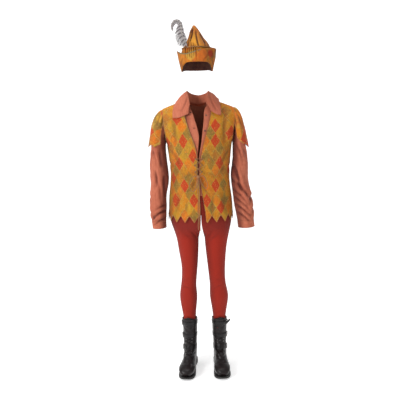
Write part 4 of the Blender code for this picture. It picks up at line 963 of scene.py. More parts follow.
@dataclass(frozen=True)
class DyedCloth(Finish):
    """Matt suede-like cotton in hand-dyed diamonds.

    Fields are the most soil anywhere, how much painted shade darkens it in creases and on its shaded
    sides, the large dyed patches over the diamonds, and how much a cloudy golden dye covers them.
    """

    soiled: float
    most: float = 0.75
    patches: tuple[Patch, ...] = ()
    veil: float = 0.0

    def paint(self, pad: NodePad, shader: bpy.types.Node, groups: Groups) -> None:
        """Lay the diamonds, the dyes, the soil, the painted shade and the weave."""
        uv, place = pad.pattern(), pad.place()
        colour = pad.effect(groups.harlequin, uv).outputs["Colour"]
        if self.veil:
            gilt = pad.ramp(pad.noise(place, 26.0, 6.0, 0.7), (
                (0.36, UMBER), (0.43, TAN), (0.49, GOLD), (0.55, ORANGE), (0.61, OLIVE), (0.68, GOLD)))
            colour = pad.mix(self.veil, colour, gilt)
        ragged = pad.math("SUBTRACT", pad.noise(place, 60.0, 4.0, 0.6), 0.5)
        for patch in self.patches:
            rough = pad.math("ADD", pad.vector("DISTANCE", place, patch.centre),
                             pad.math("MULTIPLY", ragged, patch.radius))
            share = pad.span(rough, patch.radius * 0.55, patch.radius, patch.share, 0.0)
            colour = pad.mix(share, colour, patch.colour)
        soil = pad.effect(groups.mottle, place, Scale=9.0).outputs[0]
        colour = pad.mix(pad.math("MULTIPLY", soil, self.soiled), colour, UMBER)
        metres = pad.vector("MULTIPLY", uv, (Diamonds.WIDTH, Diamonds.HEIGHT, 1.0))
        threads = pad.effect(groups.weave, metres, Thread=0.0011, Slub=0.8)
        nap = pad.noise(place, 140.0, 6.0, 0.7)
        height = pad.math("ADD", pad.math("MULTIPLY", threads.outputs["Height"], 0.25), nap)
        # Painted shade: the colour goes towards pitch on the hat and towards umber elsewhere, in the creases
        # and on the shaded sides.
        pad.settle(shader, Base_Color=pad.with_painted_shade(colour, SHADE_PITCH if self.veil else UMBER, self.most),
                   Roughness=0.86, Sheen_Weight=0.04, Sheen_Roughness=0.5, Specular_IOR_Level=0.14)
        pad.bump(shader, height, 0.0012, 0.7)


@dataclass(frozen=True)
class TwoTone(Finish):
    """A finish with a usual colour and a second one."""

    light: Colour
    dark: Colour


@dataclass(frozen=True)
class Cotton(TwoTone):
    """Matt cotton with a fine upright texture, darker in worn patches, with painted shade in its creases and
    on its shaded sides.
    """

    def paint(self, pad: NodePad, shader: bpy.types.Node, groups: Groups) -> None:
        """Lay the weave, the upright pleats, the wear and the painted shade."""
        uv = pad.pattern()
        threads = pad.effect(groups.weave, uv, Thread=0.0009, Slub=0.9)
        crinkle = pad.add("ShaderNodeMapping", Vector=uv, Scale=(300.0, 22.0, 1.0))
        pleats = pad.noise(crinkle.outputs[0], 1.0, 4.0, 0.6)
        cloud = pad.effect(groups.mottle, pad.place(), Scale=7.0).outputs[0]
        streak = pad.math("MULTIPLY", pad.span(pleats, 0.38, 0.66), 0.35)
        worn = pad.mix(pad.math("ADD", pad.math("MULTIPLY", cloud, 0.45), streak), self.light, self.dark)
        height = pad.math("ADD", pad.math("MULTIPLY", threads.outputs["Height"], 0.3), pleats)
        # Painted shade: maroon in the creases and on the shaded sides.
        pad.settle(shader, Base_Color=pad.with_painted_shade(worn, SHADE_MAROON, 0.85), Roughness=0.88,
                   Sheen_Weight=0.06, Sheen_Roughness=0.45, Specular_IOR_Level=0.16)
        pad.bump(shader, height, 0.0011, 0.8)


@dataclass(frozen=True)
class Knit(TwoTone):
    """Fine stretched knit, darker between its ribs with painted shade."""

    def paint(self, pad: NodePad, shader: bpy.types.Node, groups: Groups) -> None:
        """Lay the ribs, the clouds and the painted shade."""
        ribs = pad.effect(groups.rib, pad.pattern(), Rib=0.0022)
        cloud = pad.effect(groups.mottle, pad.place(), Scale=5.0).outputs[0]
        # Painted shade between the ribs here, and maroon painted shade in the creases and on the shaded sides
        # below.
        base = pad.mix(pad.math("MULTIPLY", ribs.outputs["Shade"], 0.6), self.dark, self.light)
        base = pad.mix(pad.math("MULTIPLY", cloud, 0.25), base, self.dark)
        pad.settle(shader, Base_Color=pad.with_painted_shade(base, SHADE_MAROON, 0.7), Roughness=0.8,
                   Sheen_Weight=0.03, Specular_IOR_Level=0.18)
        pad.bump(shader, ribs.outputs["Height"], 0.0006, 0.6)


@dataclass(frozen=True)
class Leather(TwoTone):
    """Grained leather with scuffs in its second colour; scale is the grains in a metre."""

    roughness: float
    scale: float = 420.0

    def paint(self, pad: NodePad, shader: bpy.types.Node, groups: Groups) -> None:
        """Lay the grain and the scuffs."""
        grain = pad.effect(groups.leather, pad.place(), Scale=self.scale)
        scuff = grain.outputs["Scuff"]
        pad.settle(shader, Base_Color=pad.mix(pad.math("MULTIPLY", scuff, 0.6), self.light, self.dark),
                   Roughness=pad.span(scuff, 0.0, 1.0, self.roughness, self.roughness + 0.2),
                   Specular_IOR_Level=0.30)
        pad.bump(shader, grain.outputs["Height"], 0.0007, 0.8)


@dataclass(frozen=True)
class Metal(TwoTone):
    """Dull cast metal with tarnish in patches."""

    def paint(self, pad: NodePad, shader: bpy.types.Node, groups: Groups) -> None:
        """Lay the tarnish."""
        cloud = pad.effect(groups.mottle, pad.place(), Scale=160.0).outputs[0]
        pad.settle(shader, Base_Color=pad.mix(cloud, self.light, self.dark),
                   Roughness=pad.span(cloud, 0.0, 1.0, 0.28, 0.55), Metallic=1.0)
        pad.bump(shader, cloud, 0.0002, 0.4)


@dataclass(frozen=True)
class Plain(TwoTone):
    """Smooth matter with slight clouds, such as tape, thread, horn or rubber.

    Fields are its roughness and the clouds in a metre.
    """

    roughness: float
    scale: float

    def paint(self, pad: NodePad, shader: bpy.types.Node, groups: Groups) -> None:
        """Lay the clouds."""
        cloud = pad.effect(groups.mottle, pad.place(), Scale=self.scale).outputs[0]
        pad.settle(shader, Base_Color=pad.mix(cloud, self.light, self.dark), Roughness=self.roughness)
        pad.bump(shader, cloud, 0.0003, 0.5)


@dataclass(frozen=True)
class Barbs(TwoTone):
    """Barred feather, darker at its leading edge and its tips."""

    edge: Colour

    def paint(self, pad: NodePad, shader: bpy.types.Node, groups: Groups) -> None:
        """Lay the bars, the leading edge and the tips."""
        along, share, _ = pad.add("ShaderNodeSeparateXYZ", Vector=pad.pattern()).outputs
        noise = pad.noise(pad.place(), 90.0, 4.0)
        bars = pad.math("SINE", pad.math("MULTIPLY", along, 330.0))
        barred = pad.span(pad.math("ADD", bars, pad.math("MULTIPLY", noise, 3.0)), 0.9, 2.4)
        leading = pad.math("MULTIPLY", pad.span(along, 0.110, 0.160), pad.span(share, 0.30, 0.0, 0.0, 0.9))
        dark = pad.math("MAXIMUM", leading, pad.span(share, 0.86, 1.0, 0.0, 0.5))
        colour = pad.mix(barred, self.light, self.dark)
        pad.settle(shader, Base_Color=pad.mix(dark, colour, self.edge), Roughness=0.65)
        pad.bump(shader, noise, 0.0004, 0.4)


JERKIN_CLOTH = DyedCloth("jerkin_harlequin", 0.22)
CAP_CLOTH = {side: DyedCloth("cap_harlequin_" + side.word, 0.25, 0.85, CAP_PATCHES[side]) for side in Side}
HAT_CLOTH = DyedCloth("hat_harlequin", 0.30, 0.95, HAT_PATCHES, 0.62)
SHIRT_COTTON = Cotton("shirt_cotton", (0.540, 0.168, 0.095, 1), (0.350, 0.082, 0.045, 1))
HOSE_KNIT = Knit("hose_knit", (0.440, 0.030, 0.012, 1), (0.250, 0.014, 0.007, 1))
BOOT_LEATHER = Leather("boot_leather", (0.0085, 0.0050, 0.0052, 1), (0.020, 0.011, 0.012, 1), 0.34)
STRAP_LEATHER = Leather("strap_leather", (0.0050, 0.0035, 0.0038, 1), (0.014, 0.009, 0.009, 1), 0.30)
THONG_LEATHER = Leather("thong_leather", (0.300, 0.140, 0.062, 1), (0.110, 0.045, 0.020, 1), 0.75, 900.0)
BUCKLE_STEEL = Metal("buckle_steel", (0.34, 0.32, 0.31, 1), (0.10, 0.09, 0.085, 1))
EYELET_BRASS = Metal("eyelet_brass", (0.40, 0.28, 0.12, 1), (0.16, 0.10, 0.05, 1))
HEM_TAPE = Plain("hem_tape", (0.480, 0.240, 0.060, 1), (0.330, 0.110, 0.030, 1), 0.85, 60.0)
FRONT_TAPES = {
    Side.RIGHT: Plain("olive_tape", (0.330, 0.215, 0.075, 1), (0.230, 0.120, 0.040, 1), 0.85, 90.0),
    Side.LEFT: Plain("rust_tape", (0.330, 0.100, 0.040, 1), (0.200, 0.055, 0.022, 1), 0.85, 90.0),
}
# Painted shade: the hat's inner face is near black, standing for the shade inside the crown and brim.
HAT_INNER_SHADE = Plain("hat_inner_shade", (0.060, 0.016, 0.012, 1), (0.110, 0.036, 0.020, 1), 0.9, 40.0)
HAT_BRAID = Plain("hat_braid", (0.240, 0.215, 0.110, 1), (0.130, 0.110, 0.050, 1), 0.85, 260.0)
HAT_CORD = Plain("hat_cord", (0.330, 0.160, 0.040, 1), (0.150, 0.060, 0.020, 1), 0.85, 300.0)
SOLE_RUBBER = Plain("sole_rubber", (0.009, 0.008, 0.008, 1), (0.022, 0.019, 0.018, 1), 0.6, 60.0)
BUTTON_HORN = Plain("button_horn", (0.240, 0.105, 0.060, 1), (0.120, 0.050, 0.030, 1), 0.35, 300.0)
QUILL_HORN = Plain("quill_horn", (0.520, 0.470, 0.420, 1), (0.300, 0.260, 0.240, 1), 0.45, 200.0)
SEWING_THREAD = Plain("sewing_thread", (0.500, 0.230, 0.120, 1), (0.330, 0.120, 0.060, 1), 0.7, 500.0)
DARK_THREAD = Plain("dark_thread", (0.060, 0.020, 0.015, 1), (0.030, 0.012, 0.010, 1), 0.6, 500.0)
FEATHER_BARBS = Barbs(
    "feather_barbs", (0.400, 0.370, 0.365, 1), (0.130, 0.112, 0.118, 1), (0.045, 0.038, 0.040, 1))


# Pieces

@dataclass
class Wardrobe:
    """Adds finished pieces to the scene."""

    frame: dict
    groups: Groups = field(default_factory=Groups)
    made: dict[str, bpy.types.Material] = field(default_factory=dict)

    def material(self, finish: Finish) -> bpy.types.Material:
        """Give a finish's material, made when it is first asked for."""
        if finish.name not in self.made:
            material = bpy.data.materials.new(finish.name)
            material.use_nodes = True
            pad = NodePad(material.node_tree)
            shader = pad.add("ShaderNodeBsdfPrincipled")
            pad.add("ShaderNodeOutputMaterial", Surface=shader.outputs[0])
            finish.paint(pad, shader, self.groups)
            self.made[finish.name] = material
        return self.made[finish.name]

    def add(self, name: str, mesh: bpy.types.Mesh, finish: Finish, slot: str,
            nodes: Sequence[str] = ()) -> bpy.types.Object:
        """Add a piece; the last three arguments are those of dress."""
        return self.dress(linked(name, mesh), finish, slot, nodes)

    def dress(self, item: bpy.types.Object, finish: Finish, slot: str,
              nodes: Sequence[str]) -> bpy.types.Object:
        """Give an object its finish and its place among the pieces.

        Args:
            item: The object.
            finish: Its finish.
            slot: The record's material slot; not used.
            nodes: The solids that it stands for.

        Returns:
            The same object.
        """
        item.data.materials.clear()
        item.data.materials.append(self.material(finish))
        if item.type == "MESH":
            item.data.shade_smooth()
        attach(item, "root")
        if nodes:
            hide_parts(*nodes)
        LOG.info("%s: %s", item.name, ", ".join(nodes) or "added")
        return item

    def sheet(self, node: str, level: int = 3, bend: float = 32.0) -> bpy.types.Mesh:
        """Fine outer face of a cloth solid.

        Args:
            node: The solid's name.
            level: Number of subdivisions.
            bend: Angle in degrees from which its edge keeps a corner.

        Returns:
            The open sheet.
        """
        shape = outer_wall(node_shape(self.frame["nodes"][node]))
        hold_corners(shape, bend)
        return subdivided(shape, node + "_sheet", level)

    def cloth(self, node: str, mesh: bpy.types.Mesh, finish: Finish, slot: str, wall: float,
              inner: Finish | None = None) -> None:
        """Add a sheet of cloth that stands for a solid, with its wall.

        Args:
            node: The solid's name.
            mesh: The open sheet.
            finish: Its finish.
            slot: The record's material slot.
            wall: Its thickness.
            inner: Finish of its inner face, where that is another.
        """
        item = self.add(node + "_cloth", mesh, finish, slot, (node,))
        if inner:
            item.data.materials.append(self.material(inner))
        thicken(item, wall)

    def edging(self, name: str, mesh: bpy.types.Mesh, keep: np.ndarray, radius: float, wall: float,
               finish: Finish, slot: str) -> None:
        """Bind an open sheet's edge with round piping.

        Args:
            name: Name of the new piece.
            mesh: The sheet.
            keep: Whether each vertex lies on an edge that is bound.
            radius: Radius of the piping.
            wall: The cloth's thickness.
            finish: The piping's finish.
            slot: The record's material slot.
        """
        loops, _ = edge_loops(mesh)
        places = coordinates(mesh) - normals(mesh) * wall / 2
        routes = [places[run] for run in edge_runs(loops, keep)]
        self.add(name, tube_mesh(name, routes, radius), finish, slot)

    def sewing(self, name: str, mesh: bpy.types.Mesh, keep: np.ndarray, inset: float, slot: str) -> None:
        """Sew a row of stitches beside an open sheet's edge.

        Args:
            name: Name of the new piece.
            mesh: The sheet.
            keep: Whether each vertex lies on an edge that is sewn.
            inset: Distance from the edge.
            slot: The record's material slot.
        """
        loops, inward = edge_loops(mesh)
        places, facing = coordinates(mesh), normals(mesh)
        rows = bmesh.new()
        for run in edge_runs(loops, keep):
            row = stitches(name + "_row", places[run] + inward[run] * inset, facing[run])
            rows.from_mesh(row)
            bpy.data.meshes.remove(row)
        self.add(name, finished(rows, name), SEWING_THREAD, slot)

    def solid(self, node: str, level: int, sharp: float, crease: float) -> bpy.types.Mesh:
        """Fine closed copy of a solid with softened edges.

        Args:
            node: The solid's name.
            level: Number of subdivisions.
            sharp: Angle in degrees from which an edge stays crisp.
            crease: How crisp it stays.

        Returns:
            The closed mesh.
        """
        shape = node_shape(self.frame["nodes"][node])
        layer = shape.edges.layers.float.new("crease_edge")
        for edge in shape.edges:
            if edge.calc_face_angle(0.0) > math.radians(sharp):
                edge[layer] = crease
        return subdivided(shape, node + "_form", level)


def thicken(item: bpy.types.Object, wall: float) -> None:
    """Give a sheet its wall, inwards; a second material goes on its inner face.

    Args:
        item: The sheet's object.
        wall: Its thickness.
    """
    modifier = item.modifiers.new("wall", "SOLIDIFY")
    modifier.thickness = wall
    modifier.offset = -1.0
    modifier.use_even_offset = False
    modifier.use_rim = True
    modifier.material_offset = len(item.data.materials) - 1


def pressed(mesh: bpy.types.Mesh, creases: Sequence[Crease]) -> np.ndarray:
    """Sum of the creases' relief on a mesh."""
    places, facing = coordinates(mesh), normals(mesh)
    total = np.zeros(len(places))
    for crease in creases:
        total += crease.relief(places, facing)
    return total


@dataclass
class Diamonds:
    """Places of the diamonds on the jerkin and the hat."""

    WIDTH = 0.052
    HEIGHT = 0.082
    WIDEST = 0.948
    ARMPIT = 1.33
    NECK = 0.078
    RIDGE = 1.581
    SLOPE = 0.377
    LEVELS = (0.86, 0.94, 1.05, 1.156, 1.25, 1.33)
    HALF_WIDTHS = (0.187, 0.181, 0.170, 0.164, 0.171, 0.180)
    FRONTS = (0.118, 0.116, 0.109, 0.106, 0.116, 0.125)
    BACKS = (0.122, 0.118, 0.106, 0.100, 0.108, 0.117)

    def torso(self, mesh: bpy.types.Mesh, facing: int, tip: float, shift: float) -> None:
        """Lay the pattern on a front or the back.

        Args:
            mesh: The panel.
            facing: 1 on the front and -1 on the back.
            tip: Length from the middle to the first tip.
            shift: The panel's own part of the pattern.
        """
        places = coordinates(mesh)
        heights = places[:, 2] + SHOULDER_LINE
        level = np.minimum(heights, self.ARMPIT)
        width = np.interp(level, self.LEVELS, self.HALF_WIDTHS)
        depth = np.interp(level, self.LEVELS, self.FRONTS if facing > 0 else self.BACKS)
        x = np.abs(places[:, 0])
        top = self.RIDGE - self.SLOPE * np.maximum(x - self.NECK, 0.0) - self.ARMPIT
        rise = np.clip((heights - self.ARMPIT) / top, 0.0, 0.995)
        bent = depth * np.sqrt(1 - rise ** 2)
        angle = np.arctan2(x / width, np.abs(places[:, 1]) / bent)
        across = arc_length(width, depth, angle)
        if facing < 0:
            across *= np.sign(places[:, 0])
        up = np.where(heights <= self.ARMPIT, heights, self.ARMPIT + arc_length(
            top, depth * np.cos(angle), np.arcsin(rise)))
        write_uv(mesh, self.scaled(across - tip, up, shift))

    def scaled(self, across: np.ndarray, up: np.ndarray, shift: float) -> np.ndarray:
        """Turn lengths on the cloth into pattern units."""
        return np.stack([across / self.WIDTH + shift, (up - self.WIDEST) / self.HEIGHT], axis=1)

    def cap(self, mesh: bpy.types.Mesh, side: Side) -> None:
        """Lay the pattern on a cap sleeve."""
        places = coordinates(mesh)
        out = places[:, 0] * side.value - 0.19
        across = np.arctan2(places[:, 1], out + 0.06) * 0.10
        drop = np.hypot(out - 0.01, places[:, 2])
        write_uv(mesh, self.scaled(across, 1.53 - drop, SHIFT_CAP + side.value * 4))

    def hat(self, mesh: bpy.types.Mesh, shift: float) -> None:
        """Lay the pattern round the hat."""
        places = coordinates(mesh)
        angle = np.arctan2(places[:, 0], -places[:, 1])
        write_uv(mesh, self.scaled(angle * 0.085, places[:, 2] + SHOULDER_LINE, SHIFT_HAT + shift))


def tube_places(mesh: bpy.types.Mesh, bands: int = 24) -> tuple[np.ndarray, float]:
    """Pattern places on an upright tube: length round it and height.

    Args:
        mesh: The tube.
        bands: Number of levels at which its middle is found.

    Returns:
        The places and the length of a full turn.
    """
    places = coordinates(mesh)
    z = places[:, 2]
    edges = np.linspace(z.min(), z.max(), bands + 1)
    middles, levels = [], []
    for low, high in zip(edges, edges[1:]):
        band = places[(z >= low) & (z <= high)]
        if len(band):
            middles.append((band[:, :2].max(axis=0) + band[:, :2].min(axis=0)) / 2)
            levels.append((low + high) / 2)
    centre = np.array(middles)
    away_x = places[:, 0] - np.interp(z, levels, centre[:, 0])
    away_y = places[:, 1] - np.interp(z, levels, centre[:, 1])
    radius = float(np.mean(np.hypot(away_x, away_y)))
    angle = np.arctan2(away_y, away_x)
    return np.stack([angle * radius, z], axis=1), FULL_TURN * radius


def flat_places(mesh: bpy.types.Mesh, axis: int) -> np.ndarray:
    """Pattern places from one level axis and the height."""
    places = coordinates(mesh)
    return places[:, (axis, 2)]


@dataclass
class Jerkin:
    """Laced jerkin with dagged hem and open cap sleeves."""

    wardrobe: Wardrobe
    wall: float = 0.0025
    hem_top: float = 0.962
    right_tip: float = 0.037
    left_tip: float = 0.0341
    cap_hem: float = 0.197
    binding: float = 0.0019
    roll: float = 0.0015
    hem_inset: float = 0.0062
    cap_inset: float = 0.0058
    creases: tuple[Crease, ...] = (
        *creases_seen(
            View.FRONT,
            (-20, 1160, -85, 1070, 10, 3, 10),
            (-22, 1180, -110, 1150, 9, 2.6, -6),
            (-150, 1300, -110, 1210, 12, 3.6, 8),
            (-165, 1240, -120, 1170, 10, 2.6, 6),
            (-120, 1060, -140, 965, 12, 3, 4),
            (-75, 1040, -82, 960, 10, 2.4, 0),
            (-150, 1490, -130, 1350, 12, 3.6, 6),
            (6, 1160, 50, 1060, 9, 3.4, -10),
            (12, 1185, 100, 1150, 9, 2.4, 6),
            (155, 1300, 120, 1200, 12, 3.6, -8),
            (160, 1235, 110, 1160, 9, 2.6, -6),
            (120, 1070, 135, 965, 12, 3, -4),
            (70, 1050, 66, 965, 10, 2.4, 0),
            (148, 1490, 138, 1340, 12, 4, -6)),
        *creases_seen(
            View.BACK,
            (-130, 1320, -60, 1250, 13, 3.6, 10),
            (135, 1330, 70, 1240, 12, 3.6, -10),
            (-100, 1180, 40, 1165, 10, 2.6, 10),
            (110, 1150, 0, 1140, 9, 2.4, -8),
            (-80, 1090, -100, 965, 13, 3.4, 4),
            (20, 1080, 26, 970, 12, 3, 0),
            (105, 1100, 120, 965, 13, 3.4, -4)),
        *creases_seen(
            View.RIGHT,
            (-20, 1240, 40, 1180, 10, 3, 6),
            (10, 1100, 0, 970, 12, 3, 6)),
        *creases_seen(
            View.LEFT,
            (-30, 1230, 30, 1170, 10, 3, 6),
            (0, 1100, 14, 970, 12, 3, -6)),
    )
    cap_creases: tuple[Crease, ...] = (
        *creases_seen(
            View.FRONT,
            (-182, 1520, -206, 1430, 5, 3.4, -4),
            (-205, 1515, -232, 1440, 6, 2.4, -3),
            (180, 1520, 204, 1425, 6, 3.4, 4),
            (205, 1515, 230, 1440, 5, 2.6, 3)),
        *creases_seen(
            View.RIGHT,
            (-20, 1520, -40, 1430, 6, 2.6, 3),
            (30, 1520, 45, 1430, 6, 2.6, 3)),
        *creases_seen(
            View.LEFT,
            (-25, 1520, -35, 1430, 6, 2.6, 3),
            (28, 1520, 50, 1430, 6, 2.6, 3)),
        *creases_seen(
            View.BACK,
            (-190, 1515, -214, 1430, 6, 2.8, -3),
            (192, 1515, 216, 1430, 6, 2.8, 3)),
    )

    def panel(self, node: str, seed: float) -> bpy.types.Mesh:
        """Creased sheet of one body panel.

        Args:
            node: The panel's solid.
            seed: Shifts its soft waves.

        Returns:
            The sheet.
        """
        mesh = self.wardrobe.sheet(node)
        places, facing = coordinates(mesh), normals(mesh)
        soft = sway(places, 0.16, seed) * 0.0014 + sway(places, 0.06, seed + 2) * 0.0006
        drawn = pressed(mesh, self.creases)
        press(mesh, drawn + soft)
        # Painted shade: darker in the crease troughs and on the flanks turned from the light, and darker
        # towards the hem's lowest points, more on the flanks.
        flank = np.clip(np.abs(facing[:, 0]) * 1.6 - 0.75, 0.0, 1.0)
        low = np.clip((0.935 - places[:, 2] - SHOULDER_LINE) / 0.05, 0.0, 1.0) * 0.45
        write_painted_shade(mesh, np.clip(-drawn / 0.004, 0.0, 1.0) * 0.8 + flank * 0.40 + low * (flank + 0.4))
        return mesh

    def trim(self, node: str, mesh: bpy.types.Mesh) -> None:
        """Bind the free edges of a panel and stitch beside them.

        Args:
            node: The panel's solid.
            mesh: Its sheet.
        """
        places = coordinates(mesh)
        heights = places[:, 2] + SHOULDER_LINE
        seam = (np.abs(places[:, 1]) < 0.014) & (heights > self.hem_top)
        low = heights < self.hem_top
        tape = FRONT_TAPES[Side.RIGHT if node.endswith("right") else Side.LEFT]
        self.wardrobe.edging(node + "_binding", mesh, ~seam & ~low, self.binding, self.wall, tape,
                             SLOT_JERKIN)
        self.wardrobe.edging(node + "_hem_roll", mesh, low, self.roll, self.wall, HEM_TAPE, SLOT_JERKIN)
        self.wardrobe.sewing(node + "_stitches", mesh, ~seam, self.hem_inset, SLOT_JERKIN)

    def build(self) -> None:
        """Make the body panels and the caps."""
        diamonds = Diamonds()
        for node, facing, tip, shift, seed in (
                ("jerkin_front_right", 1, self.right_tip, SHIFT_RIGHT, 0.0),
                ("jerkin_front_left", 1, self.left_tip, SHIFT_LEFT, 1.0),
                ("jerkin_back", -1, 0.0, SHIFT_BACK, 2.0)):
            mesh = self.panel(node, seed)
            diamonds.torso(mesh, facing, tip, shift)
            self.wardrobe.cloth(node, mesh, JERKIN_CLOTH, SLOT_JERKIN, self.wall)
            self.trim(node, mesh)
        for side in Side:
            node = "jerkin_cap_" + side.word
            mesh = self.wardrobe.sheet(node)
            places = coordinates(mesh)
            drawn = pressed(mesh, self.cap_creases)
            press(mesh, sway(places, 0.07, side.value) * 0.0018 + drawn)
            # Painted shade in the crease troughs.
            write_painted_shade(mesh, np.clip(-drawn / 0.003, 0.0, 1.0) * 0.9)
            diamonds.cap(mesh, side)
            self.wardrobe.cloth(node, mesh, CAP_CLOTH[side], SLOT_JERKIN, self.wall)
            outer = np.abs(places[:, 0]) > self.cap_hem
            self.wardrobe.edging(node + "_hem_roll", mesh, outer, self.roll, self.wall, HEM_TAPE, SLOT_JERKIN)
            self.wardrobe.sewing(node + "_stitches", mesh, outer, self.cap_inset, SLOT_JERKIN)


@dataclass
class Shirt:
    """Long-sleeved shirt with an open collar."""

    wardrobe: Wardrobe
    wall: float = 0.0012
    deepen: float = 1.7
    front_inset: float = 0.0060
    cuff_inset: float = 0.0045
    collar_inset: float = 0.0052
    hole_stitch: Place = (0.0008, 0.0006, 0.0018)
    holes: tuple[tuple[float, float], ...] = ((-0.043, 1.511), (-0.026, 1.4275))
    sleeve_creases: dict[Side, tuple[Crease, ...]] = field(default_factory=lambda: {
        Side.RIGHT: (
            *creases_seen(
                View.FRONT,
                (-262, 1310, -240, 1230, 9, 3.6, 4),
                (-222, 1330, -214, 1220, 10, 4, -4),
                (-250, 1195, -243, 1105, 8, 4.5, 3),
                (-202, 1160, -200, 1050, 8, 4.2, -3),
                (-228, 1130, -222, 1040, 8, 3, 2),
                (-272, 925, -196, 972, 9, 6, 10),
                (-262, 965, -200, 1000, 8, 3.4, 6),
                (-262, 895, -200, 930, 7, 3.6, 6)),
            *creases_seen(
                View.RIGHT,
                (-40, 1300, -10, 1180, 10, 4, 6),
                (20, 1240, 30, 1120, 10, 3.6, -4),
                (-50, 1020, 10, 1060, 9, 3.6, 6),
                (-80, 930, -20, 975, 9, 4, 6)),
            *creases_seen(
                View.BACK,
                (-250, 1300, -205, 1210, 10, 4, 6),
                (-195, 1160, -265, 1120, 9, 4.6, 8),
                (-200, 1110, -270, 1070, 8, 3.6, 6),
                (-265, 1000, -210, 950, 9, 3.6, -6)),
        ),
        Side.LEFT: (
            *creases_seen(
                View.FRONT,
                (207, 1330, 240, 1240, 9, 4.2, 4),
                (236, 1330, 252, 1250, 8, 3.4, 3),
                (188, 1215, 229, 1060, 10, 6.2, 6),
                (178, 1135, 282, 1025, 9, 5.2, 8),
                (186, 1080, 270, 990, 8, 4, 6),
                (190, 1040, 276, 965, 7, 4.2, 5),
                (196, 1000, 278, 935, 7, 4, 5),
                (206, 957, 272, 905, 7, 3.6, 4)),
            *creases_seen(
                View.LEFT,
                (-40, 1300, -10, 1180, 10, 4, 6),
                (20, 1240, 30, 1120, 10, 3.6, -4),
                (-70, 1000, 0, 1050, 9, 4, 6),
                (-85, 940, -30, 985, 8, 3.6, 6)),
            *creases_seen(
                View.BACK,
                (250, 1290, 200, 1200, 10, 4, -6),
                (190, 1170, 262, 1130, 9, 4.6, -8),
                (195, 1115, 270, 1080, 8, 3.6, -6),
                (265, 1000, 212, 950, 9, 3.6, 6)),
        ),
    })

    collar_creases: tuple[Crease, ...] = (
        *creases_seen(
            View.FRONT,
            (-60, 1600, -95, 1520, 6, 2.2, 4),
            (62, 1600, 100, 1515, 6, 2.2, -4),
            (-45, 1560, -60, 1500, 5, 1.6, 2),
            (48, 1560, 58, 1500, 5, 1.6, -2)),
        *creases_seen(
            View.BACK,
            (-50, 1620, -70, 1570, 7, 1.8, 3),
            (40, 1620, 65, 1570, 7, 1.8, -3)),
    )

    def body(self) -> None:
        """Make the fronts and the back, nearly plain where the jerkin covers them."""
        for seed, node in enumerate(("shirt_front_right", "shirt_front_left", "shirt_back")):
            mesh = self.wardrobe.sheet(node)
            places = coordinates(mesh)
            shown = np.clip((0.085 - np.abs(places[:, 0])) / 0.03, 0.0, 1.0)
            press(mesh, sway(places, 0.07, seed) * (0.0002 + 0.0008 * shown) * (node != "shirt_back"))
            # Painted shade: darker towards the sides, under the jerkin.
            write_painted_shade(mesh, np.clip((np.abs(places[:, 0]) - 0.040) / 0.05, 0.0, 0.55))
            write_uv(mesh, flat_places(mesh, 0))
            self.wardrobe.cloth(node, mesh, SHIRT_COTTON, SLOT_SHIRT, self.wall)
            if node == "shirt_back":
                continue
            front = (np.abs(places[:, 0]) < 0.078) & (places[:, 2] > 1.38 - SHOULDER_LINE)
            self.wardrobe.sewing(node + "_stitches", mesh, front, self.front_inset, SLOT_SHIRT)
            if node == "shirt_front_right":
                self.buttonholes(mesh)

    def buttonholes(self, mesh: bpy.types.Mesh) -> None:
        """Sew the two buttonholes beside the buttons.

        Args:
            mesh: The front's sheet.
        """
        wall = surface(mesh)
        bars = bmesh.new()
        for x, height in self.holes:
            for row in (-1, 1):
                for step in range(-5, 6):
                    start = Vector((x + step * 0.0011, -0.5, height - SHOULDER_LINE + row * 0.0009))
                    hit = front_hit(wall, start, Vector((0, 1, 0)))
                    if hit is None:
                        continue
                    place = Matrix.Translation(hit[0] + hit[1] * 0.0003) @ Matrix.Rotation(row * 0.15, 4, "Y")
                    stitch = place @ Matrix.Diagonal((*self.hole_stitch, 1))
                    bmesh.ops.create_cube(bars, size=1.0, matrix=stitch)
        bmesh.ops.recalc_face_normals(bars, faces=bars.faces)
        name = "shirt_buttonholes"
        self.wardrobe.add(name, finished(bars, name), DARK_THREAD, SLOT_SHIRT)

    def sleeves(self) -> None:
        """Make the sleeves and their plain ends."""
        for side in Side:
            for part in ("shirt_sleeve_", "shirt_cuff_"):
                node = part + side.word
                mesh = self.wardrobe.sheet(node)
                places, facing = coordinates(mesh), normals(mesh)
                heights = places[:, 2] + SHOULDER_LINE
                free = np.clip((1.345 - heights) / 0.05, 0.0, 1.0)
                soft = sway(places, 0.10, side.value) * 0.0024 + sway(places, 0.045, side.value + 3) * 0.0011
                drawn = pressed(mesh, self.sleeve_creases[side]) * self.deepen * free
                press(mesh, drawn + soft * free)
                # Painted shade: darker in the crease troughs and on the inner side that faces the body,
                # slightly more near the armpit.
                inner = np.clip((-facing[:, 0] * side.value - 0.20) / 0.50, 0.0, 1.0)
                under = np.clip((heights - 1.20) / 0.16, 0.0, 1.0) * 0.1 + 0.85
                write_painted_shade(mesh, np.clip(-drawn / 0.0075, 0.0, 1.0) * 0.9 + inner * under)
                pattern, turn = tube_places(mesh)
                write_uv(mesh, pattern, turn)
                self.wardrobe.cloth(node, mesh, SHIRT_COTTON, SLOT_SHIRT, self.wall)
                if part == "shirt_cuff_":
                    whole = np.ones(len(places), bool)
                    self.wardrobe.sewing(node + "_stitches", mesh, whole, self.cuff_inset, SLOT_SHIRT)

    def collar(self) -> None:
        """Make the stand and the spread collar."""
        for node in ("shirt_collar_stand", "shirt_collar_fall"):
            mesh = self.wardrobe.sheet(node)
            places = coordinates(mesh)
            if node == "shirt_collar_fall":
                drawn = pressed(mesh, self.collar_creases) * 0.8
                press(mesh, drawn + sway(places, 0.06, 5.0) * 0.0007)
